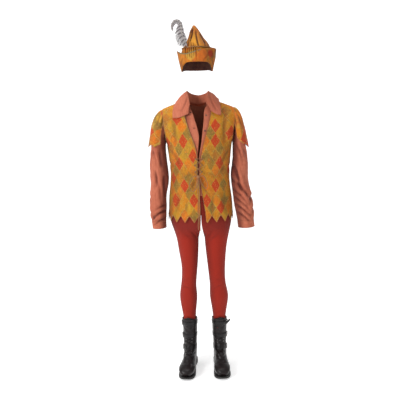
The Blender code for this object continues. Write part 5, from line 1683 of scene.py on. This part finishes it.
                # Painted shade in the crease troughs.
                write_painted_shade(mesh, np.clip(-drawn / 0.003, 0.0, 1.0) * 0.8)
                whole = np.ones(len(places), bool)
                self.wardrobe.sewing(node + "_stitches", mesh, whole, self.collar_inset, SLOT_SHIRT)
            write_uv(mesh, flat_places(mesh, 0))
            self.wardrobe.cloth(node, mesh, SHIRT_COTTON, SLOT_SHIRT, self.wall)

    def build(self) -> None:
        """Make every cloth part of the shirt and its buttons."""
        self.body()
        self.sleeves()
        self.collar()
        for number in (1, 2):
            node = f"shirt_button_{number}"
            mesh = self.wardrobe.solid(node, 2, 40.0, 0.6)
            self.wardrobe.add(node + "_turned", mesh, BUTTON_HORN, "button_horn", (node,))


@dataclass
class Hose:
    """Footless knit hose with a waistband."""

    wardrobe: Wardrobe
    wall: float = 0.0012
    creases: tuple[Crease, ...] = (
        *creases_seen(
            View.FRONT,
            (-110, 520, -70, 505, 6, 1.8, 3),
            (-115, 560, -75, 572, 6, 1.4, -3),
            (70, 505, 115, 525, 6, 1.8, 3),
            (68, 570, 110, 560, 6, 1.4, -3),
            (-100, 352, -60, 344, 5, 1.8, 2),
            (74, 345, 112, 354, 5, 1.8, 2),
            (-105, 845, -50, 800, 8, 1.8, 4),
            (110, 845, 50, 795, 8, 1.8, -4)),
        *creases_seen(
            View.BACK,
            (-120, 540, -60, 530, 8, 3, 4),
            (-115, 505, -65, 515, 7, 2.4, -3),
            (65, 530, 120, 542, 8, 3, 4),
            (70, 515, 115, 503, 7, 2.4, -3)),
    )

    def build(self) -> None:
        """Make the legs and the waistband."""
        for node in ("hose_leg_right", "hose_leg_left", "hose_waistband"):
            mesh = self.wardrobe.sheet(node)
            places, facing = coordinates(mesh), normals(mesh)
            heights = places[:, 2] + SHOULDER_LINE
            bare = np.clip((0.86 - heights) / 0.06, 0.0, 1.0) * np.clip((heights - 0.33) / 0.05, 0.0, 1.0)
            drawn = pressed(mesh, self.creases) * bare
            press(mesh, sway(places, 0.12, 4.0) * 0.0010 * bare + drawn)
            # Painted shade: darker in the crease troughs, between the legs, on the outer sides and under the
            # jerkin's hem.
            side = np.sign(places[:, 0])
            inner = np.clip(-facing[:, 0] * side * 1.5 - 0.5, 0.0, 1.0) * 0.55
            outer = np.clip(facing[:, 0] * side * 1.5 - 0.8, 0.0, 1.0) * 0.35
            shelter = np.clip((heights - 0.80) / 0.07, 0.0, 1.0) * 0.6
            write_painted_shade(mesh, np.clip(-drawn / 0.003, 0.0, 1.0) * 0.7 + inner + outer + shelter)
            pattern, turn = tube_places(mesh)
            write_uv(mesh, pattern, turn)
            self.wardrobe.cloth(node, mesh, HOSE_KNIT, "hose_knit", self.wall)


@dataclass
class Boots:
    """Dark ankle boots with three buckled straps each."""

    wardrobe: Wardrobe
    wall: float = 0.0025
    lace: float = 0.0014
    ring: float = 0.0034
    ring_wire: float = 0.0008
    prong: float = 0.0011
    lace_heights: tuple[float, ...] = (0.181, 0.166, 0.120, 0.108)
    places: dict[Side, tuple[float, float, float]] = field(default_factory=lambda: {
        Side.RIGHT: (-0.080, 0.030, -8.0), Side.LEFT: (0.0975, 0.030, 3.0)})
    wrinkles: tuple[tuple[float, float, float, float], ...] = (
        (0.256, 0.006, 0.0030, 0.5), (0.236, 0.007, 0.0040, -0.6), (0.180, 0.006, 0.0036, 0.5),
        (0.163, 0.006, 0.0042, -0.4), (0.124, 0.006, 0.0048, 0.5), (0.106, 0.006, 0.0044, -0.5),
        (0.089, 0.006, 0.0034, 0.4))

    def spot(self, side: Side, x: float, y: float, height: float) -> Vector:
        """Turn a boot's own place into the frame's."""
        middle, back, turn = self.places[side]
        turned = Matrix.Rotation(math.radians(turn), 3, "Z") @ Vector((x, y, 0))
        return Vector((middle + turned.x, back + turned.y, height - SHOULDER_LINE))

    def upper(self, side: Side) -> bpy.types.Mesh:
        """Wrinkled outer leather of one upper.

        Args:
            side: Which boot.

        Returns:
            Its sheet.
        """
        mesh = self.wardrobe.sheet("boot_upper_" + side.word, 3, 60.0)
        places, facing = coordinates(mesh), normals(mesh)
        heights = places[:, 2] + SHOULDER_LINE
        middle, back, _ = self.places[side]
        relief = sway(places, 0.06, side.value) * 0.0008
        for level, width, depth, slant in self.wrinkles:
            ripple = 0.004 * np.sin(places[:, 0] * 90 + level * 40)
            off = heights - level - slant * (places[:, 0] - middle) + ripple
            trough = np.exp(-(off / width) ** 2) - 0.5 * np.exp(-((np.abs(off) - 1.9 * width) / width) ** 2)
            front = np.clip((back - 0.018 - places[:, 1]) / 0.03, 0.0, 1.0)
            rear = np.clip((places[:, 1] - back - 0.020) / 0.03, 0.0, 0.6) * (140 * (heights - 0.19) ** 2 < 1)
            relief -= depth * trough * np.maximum(front, rear) * (0.55 + 0.45 * np.abs(facing[:, 1]))
        press(mesh, relief)
        return mesh

    def lacing(self, side: Side, mesh: bpy.types.Mesh) -> None:
        """Add short laces with eyelets between the straps.

        Args:
            side: Which boot.
            mesh: The upper's sheet.
        """
        wall = surface(mesh, self.wardrobe.frame["nodes"]["boot_tongue_" + side.word].data)
        laces, rings = [], []
        ahead = self.spot(side, 0, 1, 0) - self.spot(side, 0, 0, 0)
        for height in self.lace_heights:
            route = []
            for step in range(-6, 7):
                start = self.spot(side, step * 0.0027, -0.6, height + step * 0.0006)
                met = front_hit(wall, start, ahead)
                if met is None:
                    continue
                hit, out = met
                route.append(hit + out * 0.0013)
                if abs(step) == 6:
                    first = out.orthogonal().normalized()
                    second = out.cross(first)
                    core = hit + out * 0.0010
                    rings.append([core + (first * math.cos(turn) + second * math.sin(turn)) * self.ring
                                  for turn in np.linspace(0, FULL_TURN, 15)])
            if len(route) > 3:
                laces.append(route)
        name = f"boot_laces_{side.word}"
        self.wardrobe.add(name, tube_mesh(name, laces, self.lace, 2), STRAP_LEATHER, SLOT_BOOT)
        name = f"boot_eyelets_{side.word}"
        self.wardrobe.add(name, tube_mesh(name, rings, self.ring_wire), BUCKLE_STEEL, SLOT_STEEL)

    def prongs(self, side: Side) -> None:
        """Add the prong of each buckle.

        Args:
            side: Which boot.
        """
        routes = []
        for number in (1, 2, 3):
            places = coordinates(self.wardrobe.frame["nodes"][f"boot_buckle_{side.word}_{number}"].data)
            middle = places.mean(axis=0)
            _, _, axes = np.linalg.svd(places - middle)
            out = axes[2] * (1 if axes[2][1] < 0 else -1)
            along = np.cross((0.0, 0.0, 1.0), out)
            along /= np.linalg.norm(along)
            half = float(np.abs((places - middle) @ along).max())
            lift = float(np.abs((places - middle) @ out).max())
            routes.append([middle + along * half * share + out * lift * rise
                           for share, rise in ((-0.85, 0.6), (-0.3, 1.1), (0.4, 1.3), (0.98, 1.2))])
        name = f"boot_prongs_{side.word}"
        self.wardrobe.add(name, tube_mesh(name, routes, self.prong, 2), BUCKLE_STEEL, SLOT_STEEL)

    def strap_end(self, side: Side) -> None:
        """Add the top strap's free end, which stands off the boot.

        Args:
            side: Which boot.
        """
        out = side.value
        lift = 0.008
        route = [self.spot(side, out * x, y, height) for x, y, height in (
            (0.030, -0.052, 0.283), (0.040, -0.046, 0.284 + lift * 0.2), (0.052, -0.037, 0.287 + lift * 0.5),
            (0.062, -0.027, 0.289 + lift))]
        shape = bmesh.new()
        rows = []
        for place, half in zip(smooth_route(route, 5), np.interp(np.linspace(0, 1, 16), (0, 0.8, 0.93, 1),
                                                                 (0.0075, 0.0072, 0.0055, 0.0015))):
            rows.append([shape.verts.new(place + Vector((0, 0, part * half))) for part in (-1, -0.4, 0.4, 1)])
        for low, high in zip(rows, rows[1:]):
            for index in range(3):
                shape.faces.new((low[index], high[index], high[index + 1], low[index + 1]))
        bmesh.ops.recalc_face_normals(shape, faces=shape.faces)
        name = f"boot_strap_end_{side.word}"
        item = self.wardrobe.add(name, finished(shape, name), STRAP_LEATHER, SLOT_BOOT)
        modifier = item.modifiers.new("wall", "SOLIDIFY")
        modifier.thickness = 0.0022
        modifier.offset = 0.0

    def build(self) -> None:
        """Make both boots."""
        for side in Side:
            word = side.word
            mesh = self.upper(side)
            node = f"boot_upper_{word}"
            thicken(self.wardrobe.add(node + "_wrinkled", mesh, BOOT_LEATHER, SLOT_BOOT, (node,)), self.wall)
            self.lacing(side, mesh)
            self.prongs(side)
            if side is Side.LEFT:
                self.strap_end(side)
            rows = [(f"boot_toe_cap_{word}", 2, 60.0, 0.7, BOOT_LEATHER, SLOT_BOOT),
                    (f"boot_tongue_{word}", 3, 60.0, 0.6, BOOT_LEATHER, SLOT_BOOT),
                    (f"boot_sole_{word}", 3, 30.0, 0.75, SOLE_RUBBER, "boot_sole")]
            for number in (1, 2, 3):
                rows.append((f"boot_strap_{word}_{number}", 2, 60.0, 0.6, STRAP_LEATHER, SLOT_BOOT))
                rows.append((f"boot_buckle_{word}_{number}", 2, 30.0, 0.55, BUCKLE_STEEL, SLOT_STEEL))
            for node, level, sharp, crease, finish, slot in rows:
                mesh = self.wardrobe.solid(node, level, sharp, crease)
                self.wardrobe.add(node + "_finished", mesh, finish, slot, (node,))


@dataclass
class Hat:
    """Peaked hat with an upturned brim and a feather."""

    wardrobe: Wardrobe
    wall: float = 0.0020
    seam: float = -0.004
    brim_fold: float = 1.812
    braid: float = 0.0024
    brim_inset: float = 0.0058
    creases: tuple[Crease, ...] = (
        *creases_seen(
            View.FRONT,
            (-66, 1800, -54, 1896, 3, 4, 2),
            (-53, 1800, -44, 1902, 3, 4.6, 1),
            (-42, 1800, -36, 1896, 2.8, 4.6, 1),
            (-31, 1800, -29, 1886, 2.8, 4.4, 0),
            (-20, 1800, -18, 1878, 2.8, 4, 0),
            (-8, 1800, -8, 1868, 2.6, 3.4, 0),
            (-36, 1892, -23, 1968, 4, 4, -3),
            (10, 1850, -6, 1950, 6, 3, 4),
            (46, 1850, 14, 1930, 5.5, 3.4, -5),
            (62, 1845, 40, 1890, 4.5, 2.8, -3),
            (-96, 1740, -80, 1800, 5, 1.8, 4),
            (-20, 1790, -50, 1826, 5, 1.8, 3),
            (30, 1785, 60, 1828, 5, 1.8, -3),
            (85, 1760, 78, 1825, 5, 1.8, 3)),
        *creases_seen(
            View.BACK,
            (-45, 1850, -20, 1940, 6, 3.4, 4),
            (30, 1850, 0, 1930, 6, 3.4, -4),
            (60, 1845, 40, 1890, 5, 2.8, -3),
            (-60, 1770, -20, 1825, 6, 1.8, 3)),
        *creases_seen(
            View.RIGHT,
            (-40, 1855, -10, 1920, 6, 3.4, 4),
            (40, 1850, 20, 1930, 6, 3, 4)),
        *creases_seen(
            View.LEFT,
            (-45, 1850, -15, 1915, 6, 3.4, 4),
            (35, 1850, 15, 1925, 6, 3, -4)),
    )

    def cloths(self) -> None:
        """Make the crown and the brim."""
        diamonds = Diamonds()
        nodes = ("hat_crown_right", "hat_crown_left", "hat_brim_right", "hat_brim_left")
        for shift, node in enumerate(nodes):
            mesh = self.wardrobe.sheet(node)
            places, facing = coordinates(mesh), normals(mesh)
            drawn = pressed(mesh, self.creases) * (1.0 if "crown" in node else 0.5)
            seam = np.clip(np.abs(places[:, 0] - self.seam) / 0.012, 0.0, 1.0) if "brim" in node else 1.0
            press(mesh, (drawn + sway(places, 0.05, shift) * 0.0012) * seam)
            # Painted shade: darker in the crease troughs and on the flanks turned from the light.
            flank = np.clip(np.abs(facing[:, 0]) * 1.5 - 0.75, 0.0, 1.0)
            write_painted_shade(mesh, np.clip(-drawn / 0.0022, 0.0, 1.0) * 0.95 + flank * 0.45)
            diamonds.hat(mesh, shift * 0.37)
            # The inner face takes the painted shade.
            self.wardrobe.cloth(node, mesh, HAT_CLOTH, SLOT_HAT, self.wall, HAT_INNER_SHADE)
            if "brim" in node:
                heights = places[:, 2] + SHOULDER_LINE
                top = (heights > self.brim_fold) & (np.abs(places[:, 0] - self.seam) > 0.0015)
                braided = top & (places[:, 1] < -0.05) & (places[:, 0] < 0.02)
                if braided.any():
                    self.wardrobe.edging(node + "_braid", mesh, braided, self.braid, self.wall, HAT_BRAID,
                                         SLOT_THONG)
                self.wardrobe.sewing(node + "_stitches", mesh, top, self.brim_inset, SLOT_HAT)

    def build(self) -> None:
        """Make the hat and its feather."""
        self.cloths()
        mesh = self.wardrobe.solid("hat_cord", 2, 80.0, 0.0)
        self.wardrobe.add("hat_cord_twisted", mesh, HAT_CORD, SLOT_THONG, ("hat_cord",))
        Feather(self.wardrobe).build()


@dataclass
class Feather:
    """Curled feather with separate barbs on both sides of its quill.

    Each row is x, y, the height, and the reach of the outer and the inner barbs.
    """

    wardrobe: Wardrobe
    radius: float = 0.0010
    clumps: float = 9.0
    lean: float = 0.55
    rows: tuple[tuple[float, float, float, float, float], ...] = (
        (-0.054, -0.0849, 1.856, 0.000, 0.000), (-0.062, -0.088, 1.880, 0.026, 0.006),
        (-0.074, -0.086, 1.905, 0.044, 0.016), (-0.082, -0.084, 1.930, 0.038, 0.015),
        (-0.084, -0.082, 1.955, 0.030, 0.012), (-0.088, -0.080, 1.978, 0.026, 0.009),
        (-0.100, -0.078, 1.991, 0.025, 0.007), (-0.117, -0.076, 1.992, 0.026, 0.006),
        (-0.131, -0.074, 1.978, 0.021, 0.005), (-0.135, -0.072, 1.958, 0.012, 0.004),
        (-0.129, -0.071, 1.943, 0.004, 0.002))

    def vane(self, column: int, way: int) -> bpy.types.Mesh:
        """Barbs on one side.

        Args:
            column: The table's column of reaches.
            way: Side of the quill.

        Returns:
            Their strips as one mesh.
        """
        steps = 26
        route = smooth_route([(row[0], row[1], row[2] - SHOULDER_LINE) for row in self.rows], steps)
        widths = [row[column] for row in self.rows]
        reach = np.interp(np.arange(len(route)) / steps, range(len(widths)), widths)
        shape = bmesh.new()
        pattern = []
        for index in range(steps // 2, len(route) - 1):
            along = (route[index + 1] - route[index - 1]).normalized()
            away = Vector((0, 1, 0)).cross(along).normalized() * -way
            part = index / (len(route) - 1)
            clump = 0.84 + 0.16 * abs(math.sin(math.pi * self.clumps * part)) + 0.10 * math.sin(index * 2.3)
            width = max(reach[index], 0.0022) * clump
            rise = 0.0005 * math.sin(index * 1.9 + way)
            rows = []
            for share in (0.0, 0.25, 0.5, 0.75, 1.0):
                place = route[index] + away * (self.radius * 0.5 + width * share)
                place -= along * self.lean * width * share * share
                place.y += rise - 0.0025 * share * share * way * math.sin(part * 9.0)
                half = along * 0.0012 * (1.0 - 0.5 * share)
                rows.append([shape.verts.new(place - half), shape.verts.new(place + half)])
                pattern += [(part * 0.27, share)] * 2
            for low, high in zip(rows, rows[1:]):
                shape.faces.new((low[0], low[1], high[1], high[0]))
        mesh = finished(shape, "feather_barbs")
        write_uv(mesh, np.array(pattern))
        return mesh

    def build(self) -> None:
        """Make the quill and both vanes."""
        mesh = self.wardrobe.solid("feather_quill", 1, 80.0, 0.0)
        self.wardrobe.add("feather_quill_smooth", mesh, QUILL_HORN, "feather_quill", ("feather_quill",))
        for part, column, way in (("outer", 3, 1), ("inner", 4, -1)):
            node = "feather_vane_" + part
            mesh = self.vane(column, way)
            item = self.wardrobe.add(node + "_barbs", mesh, FEATHER_BARBS, "feather_vane", (node,))
            modifier = item.modifiers.new("wall", "SOLIDIFY")
            modifier.thickness = 0.0003
            modifier.offset = 0.0


@dataclass
class Lacing:
    """The tan thong: laced strands, knot, loops and tails."""

    wardrobe: Wardrobe
    radius: float = 0.0019
    loops: dict[str, tuple[Place, ...]] = field(default_factory=lambda: {
        "thong_loop_right": (
            (-0.0200, -0.1190, 1.1650), (-0.0330, -0.1215, 1.1670), (-0.0500, -0.1200, 1.1500),
            (-0.0600, -0.1170, 1.1200), (-0.0560, -0.1160, 1.0940), (-0.0400, -0.1190, 1.0840),
            (-0.0260, -0.1210, 1.0980), (-0.0190, -0.1220, 1.1280), (-0.0172, -0.1195, 1.1562)),
        "thong_loop_left": (
            (0.0000, -0.1190, 1.1650), (0.0150, -0.1230, 1.1690), (0.0310, -0.1220, 1.1480),
            (0.0390, -0.1200, 1.1200), (0.0330, -0.1200, 1.1000), (0.0200, -0.1210, 1.1080),
            (0.0070, -0.1220, 1.1300), (-0.0018, -0.1195, 1.1558)),
        "thong_tail_right": (
            (-0.0120, -0.1200, 1.1558), (-0.0130, -0.1235, 1.1300), (-0.0150, -0.1245, 1.0900),
            (-0.0120, -0.1255, 1.0400), (-0.0150, -0.1275, 0.9900), (-0.0130, -0.1290, 0.9400),
            (-0.0160, -0.1300, 0.9000), (-0.0150, -0.1290, 0.8700)),
        "thong_tail_left": (
            (-0.0070, -0.1205, 1.1556), (-0.0060, -0.1240, 1.1300), (-0.0050, -0.1245, 1.0900),
            (-0.0055, -0.1255, 1.0400), (-0.0040, -0.1275, 0.9900), (-0.0060, -0.1290, 0.9400),
            (-0.0060, -0.1300, 0.9000), (-0.0050, -0.1290, 0.8640)),
    })

    def cord(self, name: str, route: Sequence[Place]) -> None:
        """Make one free stretch of the thong.

        Args:
            name: The solid that it stands for.
            route: Its own points, as heights above the floor.
        """
        points = smooth_route(route, 12)
        places = [(point.x, point.y, point.z - SHOULDER_LINE) for point in points]
        item = round_curve(name + "_lace", [places], self.radius, 3)
        self.wardrobe.dress(item, THONG_LEATHER, SLOT_THONG, (name,))

    def build(self) -> None:
        """Make the lacing, the knot, the bow and the eyelets."""
        for node in ("thong_strand_under", "thong_strand_over", "thong_knot"):
            mesh = self.wardrobe.solid(node, 1, 80.0, 0.0)
            self.wardrobe.add(node + "_lace", mesh, THONG_LEATHER, SLOT_THONG, (node,))
        for name, route in self.loops.items():
            self.cord(name, route)
        for side in Side:
            for number in (1, 2, 3):
                node = f"jerkin_eyelet_{side.word}_{number}"
                mesh = self.wardrobe.solid(node, 2, 100.0, 0.0)
                self.wardrobe.add(node + "_ring", mesh, EYELET_BRASS, "eyelet_brass", (node,))


def smooth_route(points: Sequence[Place], steps: int) -> list[Vector]:
    """Points on a smooth curve through a route's own points.

    Args:
        points: The route's own points.
        steps: New points between two of them.

    Returns:
        The finer route.
    """
    route = [Vector(point) for point in points]
    padded = [route[0] * 2 - route[1]] + route + [route[-1] * 2 - route[-2]]
    fine = []
    for index in range(1, len(padded) - 2):
        before, start, end, after = padded[index - 1:index + 3]
        for step in range(steps):
            part = step / steps
            fine.append(0.5 * (
                2 * start + (end - before) * part
                + (2 * before - 5 * start + 4 * end - after) * part ** 2
                + (3 * start - before - 3 * end + after) * part ** 3))
    fine.append(route[-1])
    return fine


@dataclass(frozen=True)
class Cut:
    """Flat size of a sheet of cloth before it was worn, in metres and square metres."""

    node: str
    width: float
    length: float
    area: float
    held: str = "draped"
    rests_on: tuple[str, ...] = ()

    def declare(self) -> None:
        """Does nothing; the flat size is not declared anywhere."""


CUTS = (
    Cut("jerkin_front_right", 0.240, 0.700, 0.128, rests_on=("shirt_front_right",)),
    Cut("jerkin_front_left", 0.245, 0.700, 0.132, rests_on=("shirt_front_left",)),
    Cut("jerkin_back", 0.480, 0.695, 0.288, rests_on=("shirt_back",)),
    Cut("jerkin_cap_right", 0.260, 0.200, 0.042, rests_on=("shirt_sleeve_right",)),
    Cut("jerkin_cap_left", 0.270, 0.200, 0.044, rests_on=("shirt_sleeve_left",)),
    Cut("shirt_front_right", 0.250, 0.600, 0.119),
    Cut("shirt_front_left", 0.250, 0.600, 0.120),
    Cut("shirt_back", 0.450, 0.600, 0.245),
    Cut("shirt_sleeve_right", 0.400, 0.640, 0.190),
    Cut("shirt_sleeve_left", 0.400, 0.640, 0.192),
    Cut("shirt_cuff_right", 0.245, 0.047, 0.0114),
    Cut("shirt_cuff_left", 0.268, 0.048, 0.0127),
    Cut("shirt_collar_stand", 0.400, 0.045, 0.0162),
    Cut("shirt_collar_fall", 0.520, 0.130, 0.050),
    Cut("hose_leg_right", 0.480, 0.840, 0.255, "stretched"),
    Cut("hose_leg_left", 0.480, 0.840, 0.260, "stretched"),
    Cut("hose_waistband", 0.720, 0.030, 0.0216, "stretched"),
    Cut("hat_crown_right", 0.280, 0.255, 0.056),
    Cut("hat_crown_left", 0.280, 0.255, 0.057),
    Cut("hat_brim_right", 0.310, 0.115, 0.029),
    Cut("hat_brim_left", 0.310, 0.120, 0.032),
)


# Stage

@dataclass(frozen=True)
class Studio:
    """Pale floor, soft lights and the photograph's camera."""

    lens: float = 48.6
    sensor: float = 36.0
    height: float = 1.50
    back: float = 3.05
    aside: float = -0.0034
    pitch: float = 9.0
    roll: float = 1.23

    def camera(self) -> None:
        """Place the camera."""
        data = bpy.data.cameras.new("camera")
        data.lens = self.lens
        data.sensor_width = self.sensor
        item = linked("camera", data)
        place = Matrix.Translation((self.aside, -self.back, self.height - SHOULDER_LINE))
        tilt = Matrix.Rotation(math.radians(90.0 - self.pitch), 4, "X")
        item.matrix_world = place @ tilt @ Matrix.Rotation(math.radians(-self.roll), 4, "Z")
        bpy.context.scene.camera = item

    def floor(self) -> None:
        """Lay a wide pale floor that curves up behind."""
        shape = bmesh.new()
        profile = [(-8.0, 0.0), (2.5, 0.0)]
        for step in range(1, 13):
            turn = math.pi / 2 * step / 12
            profile.append((2.5 + 2.0 * math.sin(turn), 2.0 - 2.0 * math.cos(turn)))
        profile.append((4.5, 7.0))
        line = [shape.verts.new((-9.0, y, z - SHOULDER_LINE)) for y, z in profile]
        edges = [shape.edges.new(pair) for pair in zip(line, line[1:])]
        grown = bmesh.ops.extrude_edge_only(shape, edges=edges)
        bmesh.ops.translate(shape, vec=(18.0, 0, 0), verts=[
            part for part in grown["geom"] if isinstance(part, bmesh.types.BMVert)])
        bmesh.ops.recalc_face_normals(shape, faces=shape.faces)
        mesh = finished(shape, "floor")
        mesh.shade_smooth()
        item = linked("floor", mesh)
        material = bpy.data.materials.new("pale_paper")
        material.use_nodes = True
        shader = material.node_tree.nodes["Principled BSDF"]
        shader.inputs["Specular IOR Level"].default_value = 0.1
        shader.inputs["Base Color"].default_value = (0.85, 0.85, 0.85, 1)
        shader.inputs["Emission Color"].default_value = (1.0, 1.0, 1.0, 1)
        shader.inputs["Emission Strength"].default_value = 0.46
        shader.inputs["Roughness"].default_value = 0.9
        mesh.materials.append(material)

    def lamp(self, name: str, place: Place, aim: Place, size: float, power: float) -> None:
        """Add a soft square light.

        Args:
            name: The light's name.
            place: Where it hangs.
            aim: What it looks at.
            size: Length of its side.
            power: Its power in watts.
        """
        data = bpy.data.lights.new(name, "AREA")
        data.size = size
        data.energy = power
        item = linked(name, data)
        look = (Vector(aim) - Vector(place)).to_track_quat("-Z", "Y")
        item.matrix_world = Matrix.Translation(place) @ look.to_matrix().to_4x4()

    def build(self) -> None:
        """Set the camera, floor, sky and lights."""
        self.camera()
        self.floor()
        world = bpy.data.worlds.new("studio")
        world.use_nodes = True
        sky = world.node_tree.nodes["Background"]
        sky.inputs["Color"].default_value = (1.0, 1.0, 1.0, 1)
        sky.inputs["Strength"].default_value = 0.42
        bpy.context.scene.world = world
        bpy.context.scene.view_settings.view_transform = "Standard"
        self.lamp("key", (-2.7, -2.5, 1.5), (0, 0, -0.5), 1.3, 104.0)
        self.lamp("fill", (2.4, -2.6, 0.4), (0, 0, -0.7), 1.6, 10.0)
        self.lamp("top", (-0.3, 0.0, 2.6), (0, 0, -0.4), 1.4, 46.0)


def main() -> None:
    """Build the costume's looks around its solids."""
    logging.basicConfig(level=logging.INFO, format="%(name)s: %(message)s")
    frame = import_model()
    wardrobe = Wardrobe(frame)
    Studio().build()
    for part in (Lacing, Jerkin, Shirt, Hose, Boots, Hat):
        part(wardrobe).build()
    for cut in CUTS:
        cut.declare()


if __name__ == "__main__":
    main()
